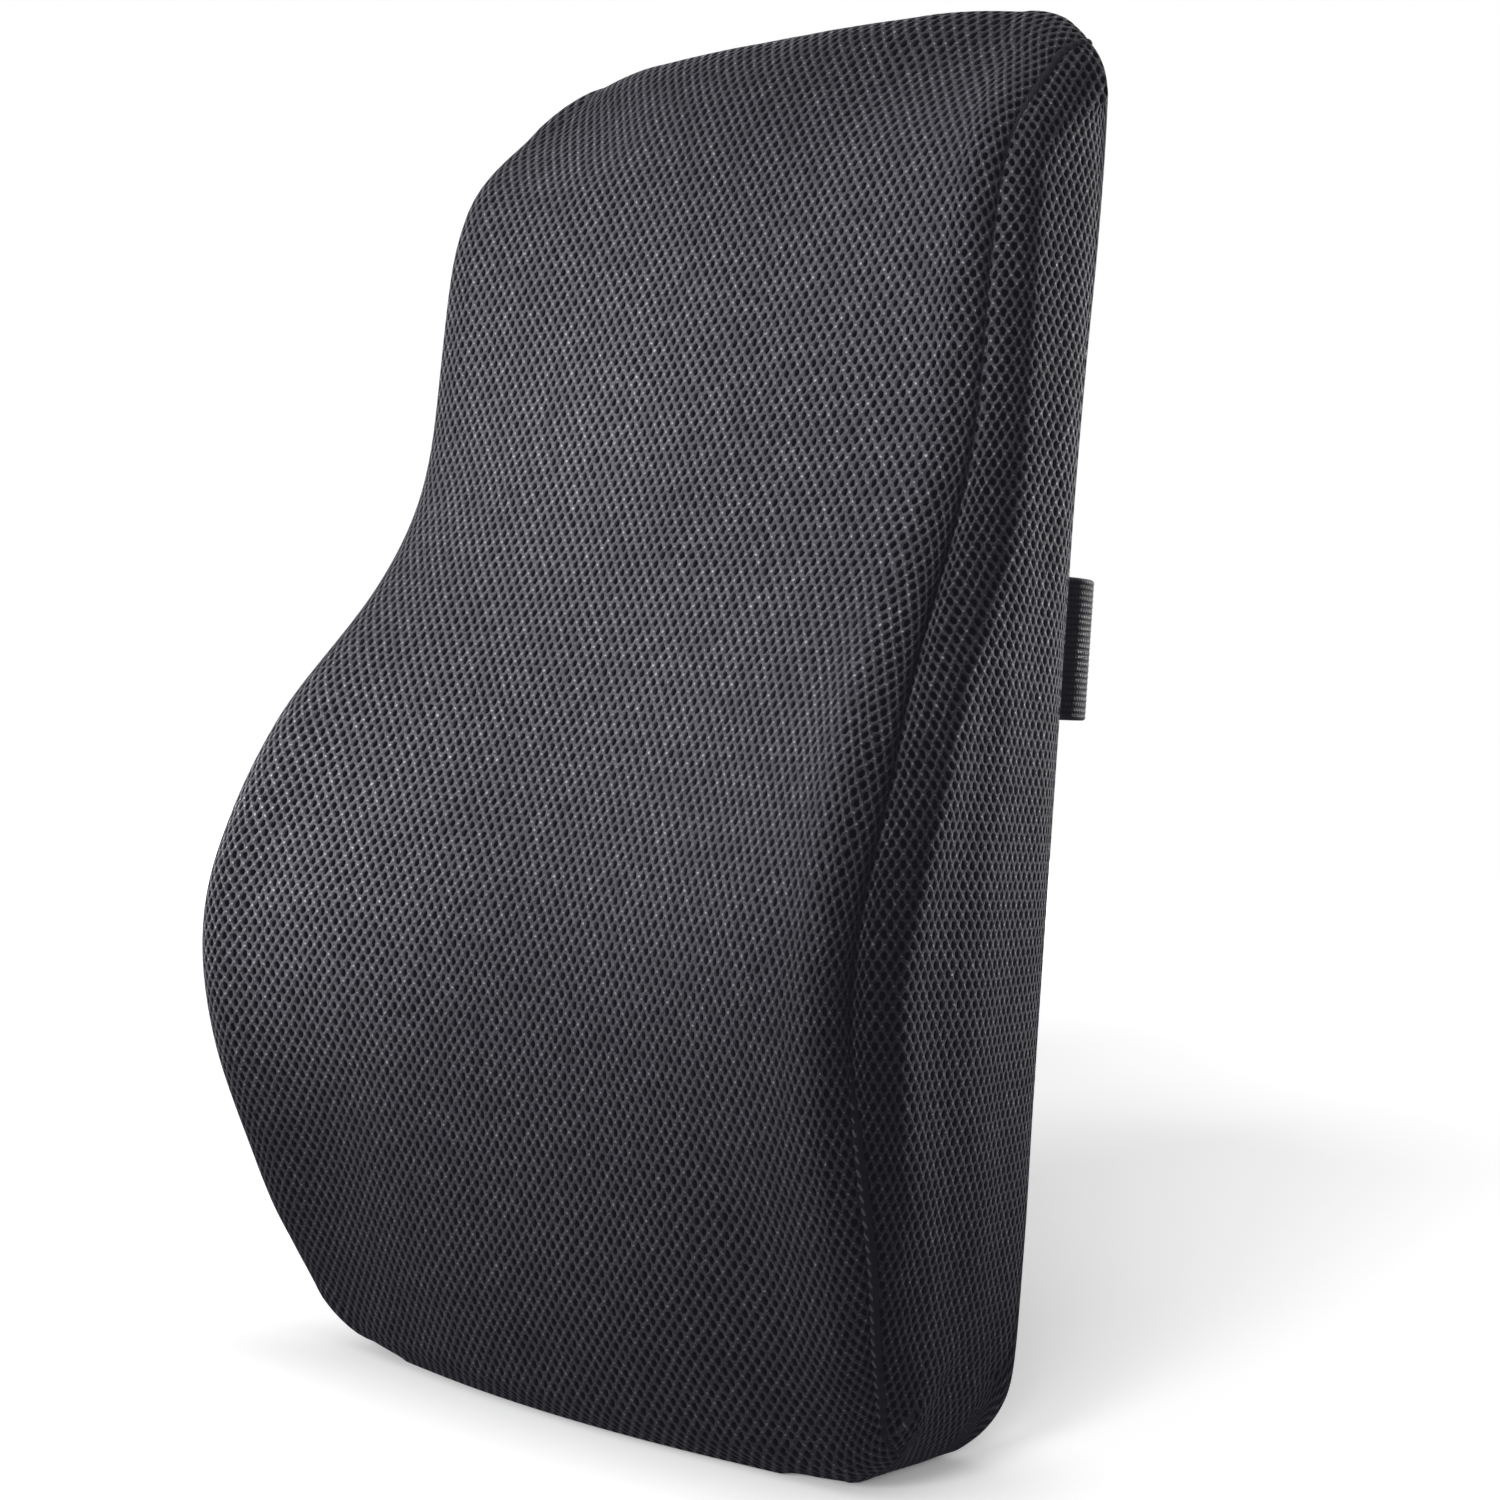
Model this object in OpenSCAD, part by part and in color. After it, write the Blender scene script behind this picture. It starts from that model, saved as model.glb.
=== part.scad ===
// Lumbar support cushion with a mesh cover, a back zip and a chair strap with a side-release buckle.
// Frame: X is the width, the front faces -Y, the flat back faces +Y, Z is up.
// The origin is the centre of the flat bottom face the cushion stands on. Lengths are in millimetres.

/* [Cushion profile] */
// Overall height
cushion_h = 450; // [380:5:520]
// Half the width of the back
back_half_w = 122; // [100:1:150]
// Depth of the side edge at the bottom
edge_bottom = 77; // [60:1:100]
// Depth of the side edge below the lumbar bulge
edge_low = 101; // [80:1:120]
// Depth of the side edge at the lumbar bulge
edge_bulge = 127; // [100:1:150]
// Depth of the side edge above the lumbar bulge
edge_above = 105; // [80:1:125]
// Depth of the side edge at the neck of the curve
edge_neck = 66; // [50:1:90]
// Depth of the side edge near the top
edge_high = 54; // [35:1:70]
// Depth of the side edge at the top
edge_top = 24; // [18:1:50]
// Depth of the centre line at the bottom
mid_bottom = 90; // [70:1:110]
// Depth of the centre line below the lumbar bulge
mid_low = 98; // [80:1:120]
// Depth of the centre line at the lumbar bulge
mid_bulge = 105; // [85:1:130]
// Depth of the centre line above the lumbar bulge
mid_above = 88; // [70:1:110]
// Depth of the centre line at the neck of the curve
mid_neck = 67; // [50:1:90]
// Depth of the centre line near the top
mid_high = 49; // [35:1:70]
// Depth of the centre line at the top
mid_top = 36; // [20:1:50]
// Extra half width of the front at the bottom
wing_bottom = 18; // [0:1:30]
// Extra half width of the front at the lumbar bulge
wing_bulge = 36; // [0:1:45]
// Extra half width of the front at the neck
wing_neck = 11; // [0:1:30]
// Extra half width of the front at the top
wing_top = 6; // [0:1:20]

/* [Cushion edges] */
// Rounding of the top front edge
top_r = 11; // [8:0.5:25]
// Rounding of the bottom front edge
bottom_r = 9; // [7:0.5:25]
// Rounding of the top rear edge
rear_top_r = 9; // [7:0.5:15]
// Rounding of the bottom rear edge
rear_bottom_r = 14; // [7:0.5:20]
// Rounding of the front side edges
side_r = 12; // [8:0.5:20]
// Rounding of the rear side edges
rear_side_r = 8; // [7:0.5:12]
// Rounding of the four corners seen from the front
corner_r = 31; // [15:1:40]
// Swell of the side panels
side_swell = 5; // [0:0.5:10]

/* [Cover and liner] */
// Thickness of the spacer mesh cover
cover_t = 3.5; // [2:0.1:5]
// Thickness of the inner liner
liner_t = 0.8; // [0.4:0.1:1.5]
// Free gap between layers
layer_gap = 0.5; // [0.4:0.05:0.8]
// Angle round the side edge at which the seam lies
seam_angle = 50; // [30:1:70]
// Half width of the liner's opening at the back, as a share of the flat back
liner_slit_share = 0.5; // [0.25:0.25:0.75]

/* [Zip] */
// Height of the zip above the bottom face
zip_z = 66; // [50:1:120]
// Height of the gap between the two back panels
zip_gap = 22; // [18:1:30]
// Half length of the tapes
tape_half = 117.5; // [80:0.5:118]
// Thickness of a tape
tape_t = 0.6; // [0.4:0.1:1]
// Pitch of the teeth
tooth_pitch = 2.4; // [1.6:0.1:4]
// Number of teeth on each side
tooth_count = 79; // [40:1:90]
// Thickness of the teeth above the tape
tooth_t = 1.6; // [1:0.1:2.5]
// Length of the slider
slider_l = 12; // [9:0.5:16]
// Length of the pull
pull_l = 24; // [15:1:35]

/* [Strap] */
// Width of the webbing
strap_w = 44; // [25:1:60]
// Thickness of the webbing
strap_t = 1.4; // [1:0.1:2.5]
// Height of the strap's centre line above the bottom face
strap_z = 253; // [180:1:320]
// Distance of the buckle's centre plane from the back
stand_off = 28; // [24:1:45]
// Half width between the bends of the loop
bend_x = 100; // [80:1:105]
// Length of each end sewn flat to the back
sewn_l = 22; // [15:1:40]

/* [Buckle] */
// Overall width of the buckle
buckle_w = 58; // [45:1:75]
// Thickness of the socket
buckle_t = 11; // [9:0.5:14]
// Length of the socket's housing
socket_l = 28; // [24:0.5:40]
// Wall thickness of the housing
socket_wall = 2.1; // [1.5:0.1:3]
// Radius of the bars the webbing turns round
bar_r = 2.4; // [1.8:0.1:3]
// Half of the gap between the centre planes of the two prongs
prong_z = 20; // [15:0.5:25]
// Distance of the catch faces from the socket's mouth
catch_x = 12; // [10:0.5:18]
// Gap between moving plastic faces
slip = 0.2; // [0.1:0.05:0.4]
// Position of the adjuster along X
adjuster_x = -64; // [-75:1:-55]

/* [Hidden] */
$fn = 48;

// Distance of the back plane from the origin, so that the origin is the middle of the bottom face
back_y = (mid_bottom - bottom_r + rear_bottom_r) / 2;
// Heights of the stations the profile passes through
edge_z = [0, 60, 145, 215, 300, 400, 450] * cushion_h / 450;
edge_d = [edge_bottom, edge_low, edge_bulge, edge_above, edge_neck, edge_high, edge_top];
mid_d = [mid_bottom, mid_low, mid_bulge, mid_above, mid_neck, mid_high, mid_top];
wing_z = [0, 145, 300, 450] * cushion_h / 450;
wing_d = [wing_bottom, wing_bulge, wing_neck, wing_top];
// Number of steps up the height, across the flat width, across the depth and round a side edge
up_n = 30;
flat_n = 8;
deep_n = 6;
turn_n = 3;
// Heights over which the corner rounding's width and its pull towards mid height die out
corner_fade = 85;
pull_fade = 150;
foam_off = cover_t + liner_t + 2 * layer_gap;
liner_off = cover_t + layer_gap;
seam_gap = 1;
// The zip's layers, measured outward from the back plane
tape_y = -1.6;
teeth_y = tape_y + tape_t + 0.05;
plate_y = teeth_y + tooth_t + 0.15;
teeth_half = tooth_count * tooth_pitch / 2;
slider_x = teeth_half - 0.5;
bridge_y = plate_y + 2.85;
bridge_r = 0.7;
inner_z = 1.6;
// The buckle's mouth plane along X, its inner half width and the positions of its bars
mouth_x = -12;
inner_w = buckle_w / 2 - 4;
socket_bar = 38;
plug_bar = -13;
prong_t = buckle_t - 2 * socket_wall - 2 * slip;
turn_r = bar_r + 0.25 + strap_t / 2;
// The adjuster's bars
post_r = 1.4;
wrap_r = post_r + 0.2 + strap_t / 2;
over_r = wrap_r + strap_t + 0.15;
glide_in = 6.6;
glide_out = 9.6;
adjuster_y = stand_off + 2.9;
pass_y = adjuster_y - 1.3 - 0.15 - strap_t / 2;
under_y = pass_y - strap_t - 0.15;
bend_r = (stand_off - turn_r - 0.2 - strap_t / 2) / 2;
bend_left_r = (pass_y - 0.2 - strap_t / 2) / 2;

function mix(a, b, t) = a + (b - a) * t;
function clamp01(t) = max(0, min(1, t));

// Smooth curve through the values vs at the stations zs
function slope_at(zs, vs, i) =
    let (a = max(i - 1, 0), b = min(i + 1, len(zs) - 1))
    (vs[b] - vs[a]) / (zs[b] - zs[a]);
function span_of(zs, z, i = 0) = i >= len(zs) - 2 || z < zs[i + 1] ? i : span_of(zs, z, i + 1);
function curve(zs, vs, z) =
    let (i = span_of(zs, z), h = zs[i + 1] - zs[i], t = (z - zs[i]) / h)
    let (ma = slope_at(zs, vs, i) * h, mb = slope_at(zs, vs, i + 1) * h)
    (2 * pow(t, 3) - 3 * pow(t, 2) + 1) * vs[i] + (pow(t, 3) - 2 * pow(t, 2) + t) * ma
    + (3 * pow(t, 2) - 2 * pow(t, 3)) * vs[i + 1] + (pow(t, 3) - pow(t, 2)) * mb;

// Height of step v, running from 0 at the bottom to 1 at the top and closer together at both ends
function level(v) = cushion_h * (1 - cos(180 * v)) / 2;
function step_of(z) = acos(1 - 2 * z / cushion_h) / 180;
// How far an edge of radius r has drawn back at distance d from the end face
function drawn(r, d) = let (k = clamp01(1 - d / r)) r * (1 - sqrt(1 - k * k));

function wing(z) = curve(wing_z, wing_d, z);
function front_y(v, s) =
    let (z = level(v), e = curve(edge_z, edge_d, z), m = curve(edge_z, mid_d, z))
    -(m + (e - m) * s * s) + drawn(bottom_r, z) + drawn(top_r, cushion_h - z);
function rear_y(v) =
    let (z = level(v))
    -drawn(rear_bottom_r, z) - drawn(rear_top_r, cushion_h - z);

// Outward direction in the Y-Z plane, forced square to the flat bottom and top
function square_to(v, d) = v <= 0 ? [0, -1] : v >= 1 ? [0, 1] : d / norm(d);
function front_dir(v, s) =
    let (a = max(v - 0.004, 0), b = min(v + 0.004, 1))
    square_to(v, [level(a) - level(b), front_y(b, s) - front_y(a, s)]);
function rear_dir(v) =
    let (a = max(v - 0.004, 0), b = min(v + 0.004, 1))
    square_to(v, [level(b) - level(a), rear_y(a) - rear_y(b)]);

// Share of the corner rounding at height z, and its pull towards mid height
function fade(z, h) = pow(clamp01(1 - z / h), 2) + pow(clamp01(1 - (cushion_h - z) / h), 2);
function pull_in(z) = corner_r * fade(z, pull_fade) * (z < cushion_h / 2 ? 1 : -1);

// A station across the width is [share of the flat width, angle round the side edge]
function edge_point(half, r, st, y, z, d, off) =
    let (c = cos(st[1]), rx = mix(r, corner_r, fade(z, corner_fade)))
    [
        (half - rx) * st[0] + (rx - off) * sin(st[1]),
        y - d[0] * (off * c + r * (1 - c)),
        z - d[1] * off * c + pull_in(z) * (1 - c)
    ];
function front_point(st, v, off) =
    let (z = level(v))
    edge_point(back_half_w + wing(z), side_r, st, front_y(v, st[0]), z, front_dir(v, st[0]), off);
function rear_point(st, v, off) =
    let (z = level(v))
    edge_point(back_half_w, rear_side_r, st, rear_y(v), z, rear_dir(v), off);
// A point of the skin: t runs from 0 at the front to 1 at the back
function skin(st, v, t, off) =
    mix(front_point(st, v, off), rear_point(st, v, off), t)
    + [abs(st[1]) < 90 ? 0 : sign(st[1]) * side_swell * 4 * t * (1 - t) * pow(sin(180 * v), 2), back_y, 0];

flat_stations = [for (i = [0:flat_n]) [2 * i / flat_n - 1, 0]];
function turn_left(a) = [for (i = [0:turn_n - 1]) [-1, -a * (1 - i / turn_n)]];
function turn_right(a) = [for (i = [1:turn_n]) [1, a * i / turn_n]];
function across(a) = concat(turn_left(a), flat_stations, turn_right(a));

// The closed loop round the profile: up the front, over the top, down the back and along the bottom
loop = concat(
    [for (j = [0:up_n]) [j / up_n, 0]],
    [for (k = [1:deep_n - 1]) [1, k / deep_n]],
    [for (j = [up_n:-1:0]) [j / up_n, 1]],
    [for (k = [deep_n - 1:-1:1]) [0, k / deep_n]],
    [[0, 0]]
);
// The strip of the front panel: from the rear bottom edge, up the front, to the rear top edge
strip = concat(
    [for (t = [0.99, 0.66, 0.33]) [0, t]],
    [for (j = [0:up_n]) [j / up_n, 0]],
    [for (t = [0.33, 0.66, 0.97]) [1, t]]
);

function sheet(stations, path, off) = [for (st = stations) [for (p = path) skin(st, p[0], p[1], off)]];
function cap(side, off) =
    [for (j = [0:up_n]) [for (k = [0:deep_n]) skin([side, 90 * side], j / up_n, k / deep_n, off)]];
function column(m, k) = [for (row = m) row[k]];
function part_of(list, a, b) = [for (i = [a:b]) list[i]];

// A solid bounded by sheets of points. Each entry is [points in rows, whether it faces the other way]
function run_of(sheets, n) = n == 0 ? 0 : run_of(sheets, n - 1) + len(sheets[n - 1][0]) * len(sheets[n - 1][0][0]);
function corner(base, w, i, j) = base + i * w + j;
function cells(sheet_rows, flip, base) =
    let (w = len(sheet_rows[0]))
    [
        for (i = [0:len(sheet_rows) - 2], j = [0:w - 2], half = [0, 1])
            let (a = corner(base, w, i, j), b = corner(base, w, i, j + 1))
            let (c = corner(base, w, i + 1, j + 1), d = corner(base, w, i + 1, j))
            let (tri = half == 0 ? [a, b, c] : [a, c, d])
            flip ? [tri[2], tri[1], tri[0]] : tri
    ];
module sheet_solid(sheets) {
    polyhedron(
        points = [for (s = sheets, row = s[0], p = row) p],
        faces = [for (n = [0:len(sheets) - 1], f = cells(sheets[n][0], sheets[n][1], run_of(sheets, n))) f],
        convexity = 8
    );
}
// A panel of even thickness between two matching sheets, closed round its four edges
module panel(outer, inner) {
    last = len(outer) - 1;
    end = len(outer[0]) - 1;
    sheet_solid([
        [outer, false],
        [inner, true],
        [[outer[0], inner[0]], true],
        [[outer[last], inner[last]], false],
        [[column(outer, 0), column(inner, 0)], false],
        [[column(outer, end), column(inner, end)], true]
    ]);
}

module foam_core() {
    color([0.93, 0.9, 0.82])
        sheet_solid([
            [sheet(across(90), loop, foam_off), false],
            [cap(-1, foam_off), false],
            [cap(1, foam_off), true]
        ]);
}

// The liner is closed all round but for a slit across the back, through which the foam goes in
module foam_liner() {
    stations = across(90);
    lo = turn_n + round(flat_n * (1 - liner_slit_share) / 2);
    hi = turn_n + round(flat_n * (1 + liner_slit_share) / 2);
    last = len(stations) - 1;
    end = len(loop) - 1;
    // The slit lies between two steps of the loop on the way down the back
    top = up_n + deep_n + round(up_n * 0.46);
    low = top + 1;
    outer = sheet(stations, loop, liner_off);
    inner = sheet(stations, loop, liner_off + liner_t);
    slit_out = [for (i = [lo:hi]) part_of(outer[i], top, low)];
    slit_in = [for (i = [lo:hi]) part_of(inner[i], top, low)];
    color([0.9, 0.9, 0.88])
        sheet_solid([
            [part_of(outer, 0, lo), false],
            [part_of(outer, hi, last), false],
            [[for (i = [lo:hi]) part_of(outer[i], 0, top)], false],
            [[for (i = [lo:hi]) part_of(outer[i], low, end)], false],
            [cap(-1, liner_off), false],
            [cap(1, liner_off), true],
            [part_of(inner, 0, lo), true],
            [part_of(inner, hi, last), true],
            [[for (i = [lo:hi]) part_of(inner[i], 0, top)], true],
            [[for (i = [lo:hi]) part_of(inner[i], low, end)], true],
            [cap(-1, liner_off + liner_t), true],
            [cap(1, liner_off + liner_t), false],
            [[slit_out[0], slit_in[0]], false],
            [[slit_out[hi - lo], slit_in[hi - lo]], true],
            [[column(slit_out, 0), column(slit_in, 0)], true],
            [[column(slit_out, 1), column(slit_in, 1)], false]
        ]);
}

module front_panel() {
    stations = across(seam_angle - seam_gap);
    color([0.13, 0.13, 0.15])
        panel(sheet(stations, strip, 0), sheet(stations, strip, cover_t));
}

module back_panel(path) {
    stations = across(seam_angle - seam_gap);
    panel(sheet(stations, path, cover_t), sheet(stations, path, 0));
}
// The back panels end beside the zip and share the loop's steps elsewhere
gap_low = step_of(zip_z - zip_gap / 2);
gap_high = step_of(zip_z + zip_gap / 2);
module back_panel_upper() {
    color([0.12, 0.12, 0.13])
        back_panel(concat([[gap_high, 1]], [for (j = [ceil(gap_high * up_n):up_n]) [j / up_n, 1]]));
}
module back_panel_lower() {
    color([0.12, 0.12, 0.13])
        back_panel(concat([for (j = [0:floor(gap_low * up_n)]) [j / up_n, 1]], [[gap_low, 1]]));
}

// A side panel is the end cap and the turn round its edge as far as the seam
module side_panel(side) {
    turn = [for (i = [0:turn_n]) [side, side * mix(90, seam_angle + seam_gap, i / turn_n)]];
    outer = sheet(turn, loop, 0);
    inner = sheet(turn, loop, cover_t);
    sheet_solid([
        [cap(side, 0), side > 0],
        [outer, side > 0],
        [cap(side, cover_t), side < 0],
        [inner, side < 0],
        [[outer[turn_n], inner[turn_n]], side > 0]
    ]);
}
module side_panel_left() {
    color([0.12, 0.12, 0.14])
        side_panel(-1);
}
module side_panel_right() {
    color([0.12, 0.12, 0.14])
        side_panel(1);
}

// Everything behind the back is drawn from the back plane
module at_back(x, z) {
    translate([x, back_y, z])
        children();
}
module block(lo, hi) {
    translate(lo)
        cube(hi - lo);
}
// A flat plate in the X-Z plane with rounded corners, from y0 to y1
module plate(x0, x1, z0, z1, y0, y1, r) {
    translate([0, y1, 0])
        rotate([90, 0, 0])
            linear_extrude(y1 - y0)
                rounded(x0, x1, z0, z1, r);
}
module rounded(x0, x1, z0, z1, r) {
    translate([x0 + r, z0])
        square([x1 - x0 - 2 * r, z1 - z0]);
    translate([x0, z0 + r])
        square([x1 - x0, z1 - z0 - 2 * r]);
    for (x = [x0 + r, x1 - r], z = [z0 + r, z1 - r])
        translate([x, z])
            circle(r);
}

// A tape fills half of the gap. The lower one is cut back at its ends, where the panel below it curves up
module zip_tape(up) {
    lo = up > 0 ? inner_z : -zip_gap / 2 + 0.1;
    hi = up > 0 ? zip_gap / 2 - 0.1 : -inner_z;
    cut = up > 0 ? 0 : 3.6;
    at_back(0, zip_z)
        translate([0, tape_y + tape_t, 0])
            rotate([90, 0, 0])
                linear_extrude(tape_t)
                    polygon([
                        [-tape_half, lo + cut],
                        [-tape_half + 2 * cut, lo],
                        [tape_half - 2 * cut, lo],
                        [tape_half, lo + cut],
                        [tape_half, hi],
                        [-tape_half, hi]
                    ]);
}
module zip_tape_upper() {
    color([0.07, 0.07, 0.08])
        zip_tape(1);
}
module zip_tape_lower() {
    color([0.07, 0.07, 0.08])
        zip_tape(-1);
}

// A toothed rail: its teeth reach past the centre line into the gaps of the other rail
module zip_teeth(up) {
    tooth = tooth_pitch * 0.4;
    at_back(-teeth_half, zip_z)
        translate([0, teeth_y + tooth_t, 0])
            rotate([90, 0, 0])
                linear_extrude(tooth_t)
                    union() {
                        translate([0, up > 0 ? 0.9 : -2.8])
                            square([teeth_half * 2, 1.9]);
                        for (i = [0:tooth_count - 1])
                            translate([(i + (up > 0 ? 0.05 : 0.55)) * tooth_pitch, up > 0 ? -0.7 : -1])
                                square([tooth, 1.7]);
                    }
}
module zip_teeth_upper() {
    color([0.1, 0.1, 0.11])
        zip_teeth(1);
}
module zip_teeth_lower() {
    color([0.1, 0.1, 0.11])
        zip_teeth(-1);
}
module zip_stop_open() {
    color([0.55, 0.55, 0.57])
        at_back(-teeth_half, zip_z)
            block([-3, teeth_y, -3.2], [-0.2, teeth_y + 1.7, 3.2]);
}
module zip_stop_closed(up) {
    at_back(slider_x + slider_l / 2 + 0.8, zip_z)
        block([0, teeth_y, up > 0 ? 1.9 : -3.9], [2.4, teeth_y + 1.7, up > 0 ? 3.9 : -1.9]);
}
module zip_stop_closed_upper() {
    color([0.55, 0.55, 0.57])
        zip_stop_closed(1);
}
module zip_stop_closed_lower() {
    color([0.55, 0.55, 0.57])
        zip_stop_closed(-1);
}

module zip_slider() {
    half = slider_l / 2;
    wide = 4.8;
    color([0.5, 0.5, 0.52])
        at_back(slider_x, zip_z) {
            // Front plate, rear plate and the two flanges beside the teeth
            plate(-half, half, -wide, wide, plate_y, plate_y + 1.2, 2);
            plate(-half, half, -wide, wide, tape_y - 1.5, tape_y - 0.2, 2);
            for (s = [-1, 1])
                block([-half + 2, teeth_y + 0.1, s > 0 ? 3.1 : -wide], [half - 2, plate_y + 0.1, s > 0 ? wide : -3.1]);
            // Wedge that joins the plates between the tapes
            block([1.2, tape_y - 0.3, -1.3], [4.4, plate_y + 0.1, 1.3]);
            // Bridge for the pull
            for (s = [-1, 1])
                block([-1.2, plate_y + 1.1, s > 0 ? 1.8 : -2.8], [1.2, bridge_y + 1.1, s > 0 ? 2.8 : -1.8]);
            translate([0, bridge_y, -2])
                cylinder(r = bridge_r, h = 4);
        }
}

module zip_pull() {
    color([0.5, 0.5, 0.52])
        at_back(slider_x, zip_z)
            difference() {
                union() {
                    translate([0, bridge_y, -1.5])
                        cylinder(r = 1.5, h = 3);
                    block([-6, bridge_y - 0.6, -1.5], [-0.5, bridge_y + 0.6, 1.5]);
                    plate(-pull_l, -5, -4, 4, bridge_y - 0.6, bridge_y + 0.6, 2.5);
                }
                translate([0, bridge_y, -2])
                    cylinder(r = bridge_r + 0.05, h = 4);
                translate([-pull_l + 4.5, bridge_y + 1, 0])
                    rotate([90, 0, 0])
                        cylinder(r = 1.8, h = 2);
            }
}

// Webbing: a path in the X-Y plane given its thickness and drawn to its width
function arc(cx, cy, r, a0, a1, n) = [for (i = [0:n]) let (a = mix(a0, a1, i / n)) [cx + r * cos(a), cy + r * sin(a)]];
function turn_at(path, i) =
    let (a = path[max(i - 1, 0)], b = path[min(i + 1, len(path) - 1)], d = b - a)
    [-d[1], d[0]] / norm(d);
module webbing(path) {
    n = len(path) - 1;
    side_a = [for (i = [0:n]) path[i] + turn_at(path, i) * strap_t / 2];
    side_b = [for (i = [n:-1:0]) path[i] - turn_at(path, i) * strap_t / 2];
    at_back(0, strap_z - strap_w / 2)
        linear_extrude(strap_w)
            polygon(concat(side_a, side_b));
}
// Sewn end, bend and start of the straight run of the right half
flat_y = strap_t / 2 + 0.2;
socket_bar_x = mouth_x + socket_bar;
plug_bar_x = mouth_x + plug_bar;
// Where the two layers part to go round the plug's bar
merge_x = plug_bar_x - 11;
right_path = concat(
    [for (i = [0:4]) [bend_x - sewn_l * (1 - i / 4), flat_y]],
    arc(bend_x, flat_y + bend_r, bend_r, -85, 90, 24),
    [for (i = [1:6]) [mix(bend_x, socket_bar_x + 8, i / 6), flat_y + 2 * bend_r]],
    arc(socket_bar_x, stand_off, turn_r, -90, -270, 16),
    [for (i = [1:5]) [socket_bar_x + 6.8 * i, stand_off + turn_r - 0.9 * i]]
);
module strap_right() {
    color([0.1, 0.1, 0.11])
        webbing(right_path);
}

// The left half turns round the adjuster's centre post, runs to the plug's bar, comes back through the
// adjuster over the sewn turn, and goes on to its bend and sewn end
left_path = concat(
    arc(adjuster_x, adjuster_y, wrap_r, 5, 270, 20),
    [[adjuster_x + 1.2, adjuster_y - wrap_r - 0.12]],
    [[adjuster_x + 3.4, under_y + 0.35]],
    [[adjuster_x + 5.2, under_y]],
    [[merge_x, under_y]],
    arc(plug_bar_x, stand_off, turn_r, -100, 100, 16),
    [[merge_x, pass_y]],
    [[adjuster_x + 5.9, pass_y]],
    arc(adjuster_x + over_r + 1.2, pass_y + 1.2, 1.2, 265, 185, 4),
    arc(adjuster_x, adjuster_y, over_r, 4, 176, 16),
    arc(adjuster_x - over_r - 1.2, pass_y + 1.2, 1.2, -5, -85, 4),
    [[adjuster_x - 5.9, pass_y]],
    [[mix(adjuster_x, -bend_x, 0.6), pass_y]],
    arc(-bend_x, flat_y + bend_left_r, bend_left_r, 90, 265, 24),
    [for (i = [0:4]) [-bend_x + sewn_l * i / 4, flat_y]]
);
module strap_left() {
    color([0.1, 0.1, 0.11])
        webbing(left_path);
}

module strap_adjuster() {
    half = strap_w / 2 + 1.6;
    color([0.08, 0.08, 0.09])
        at_back(adjuster_x, strap_z) {
            difference() {
                plate(-glide_out, glide_out, -half - 3, half + 3, adjuster_y - 1.3, adjuster_y + 1.3, 2.5);
                block([-glide_in, adjuster_y - 3, -half], [glide_in, adjuster_y + 3, half]);
            }
            translate([0, adjuster_y, -half - 1])
                cylinder(r = post_r, h = 2 * half + 2);
        }
}

// The two side arms and the bar at the webbing end of a buckle half
module bar_frame(x0, x1, bar) {
    for (s = [-1, 1])
        block([x0, stand_off - 3.2, s > 0 ? inner_w : -buckle_w / 2], [x1, stand_off + 3.2, s > 0 ? buckle_w / 2 : -inner_w]);
    translate([bar, stand_off, -inner_w - 1])
        cylinder(r = bar_r, h = 2 * inner_w + 2);
}

module buckle_socket() {
    half_t = buckle_t / 2;
    hollow = half_t - socket_wall;
    color([0.06, 0.06, 0.07])
        at_back(mouth_x, strap_z)
            difference() {
                union() {
                    plate(0, socket_l, -buckle_w / 2, buckle_w / 2, stand_off - half_t, stand_off + half_t, 3);
                    bar_frame(socket_l - 4, socket_bar + 4, socket_bar);
                }
                // Hollow for the tongue and prongs, with a window on each side for the catches
                block([-1, stand_off - hollow, -inner_w], [socket_l - 2.5, stand_off + hollow, inner_w]);
                block([catch_x, stand_off - hollow, -buckle_w], [socket_l - 2.5, stand_off + hollow, buckle_w]);
                // Finger hollows over the windows
                for (s = [-1, 1])
                    translate([(catch_x + socket_l - 2.5) / 2, stand_off + buckle_t, s * (buckle_w / 2 + 5)])
                        rotate([90, 0, 0])
                            cylinder(r = 7.6, h = 2 * buckle_t);
                // Raised panel's shallow outline on the face away from the cushion
                block([5, stand_off + half_t - 0.6, -14], [20, stand_off + half_t + 1, 14]);
            }
}

module buckle_plug() {
    half_t = buckle_t / 2;
    color([0.06, 0.06, 0.07])
        at_back(mouth_x, strap_z)
            difference() {
                union() {
                    plate(-6, -slip, -buckle_w / 2, buckle_w / 2, stand_off - half_t, stand_off + half_t, 2);
                    bar_frame(plug_bar - 4, -4, plug_bar);
                    // Guide tongue
                    block([-1, stand_off - prong_t / 2, -4.5], [18, stand_off + prong_t / 2, 4.5]);
                }
                // Seats of the two prongs
                for (s = [-1, 1])
                    translate([-1, stand_off + half_t + 1, s * prong_z])
                        rotate([90, 0, 0])
                            cylinder(r = 2.5, h = buckle_t + 2);
            }
}

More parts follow.
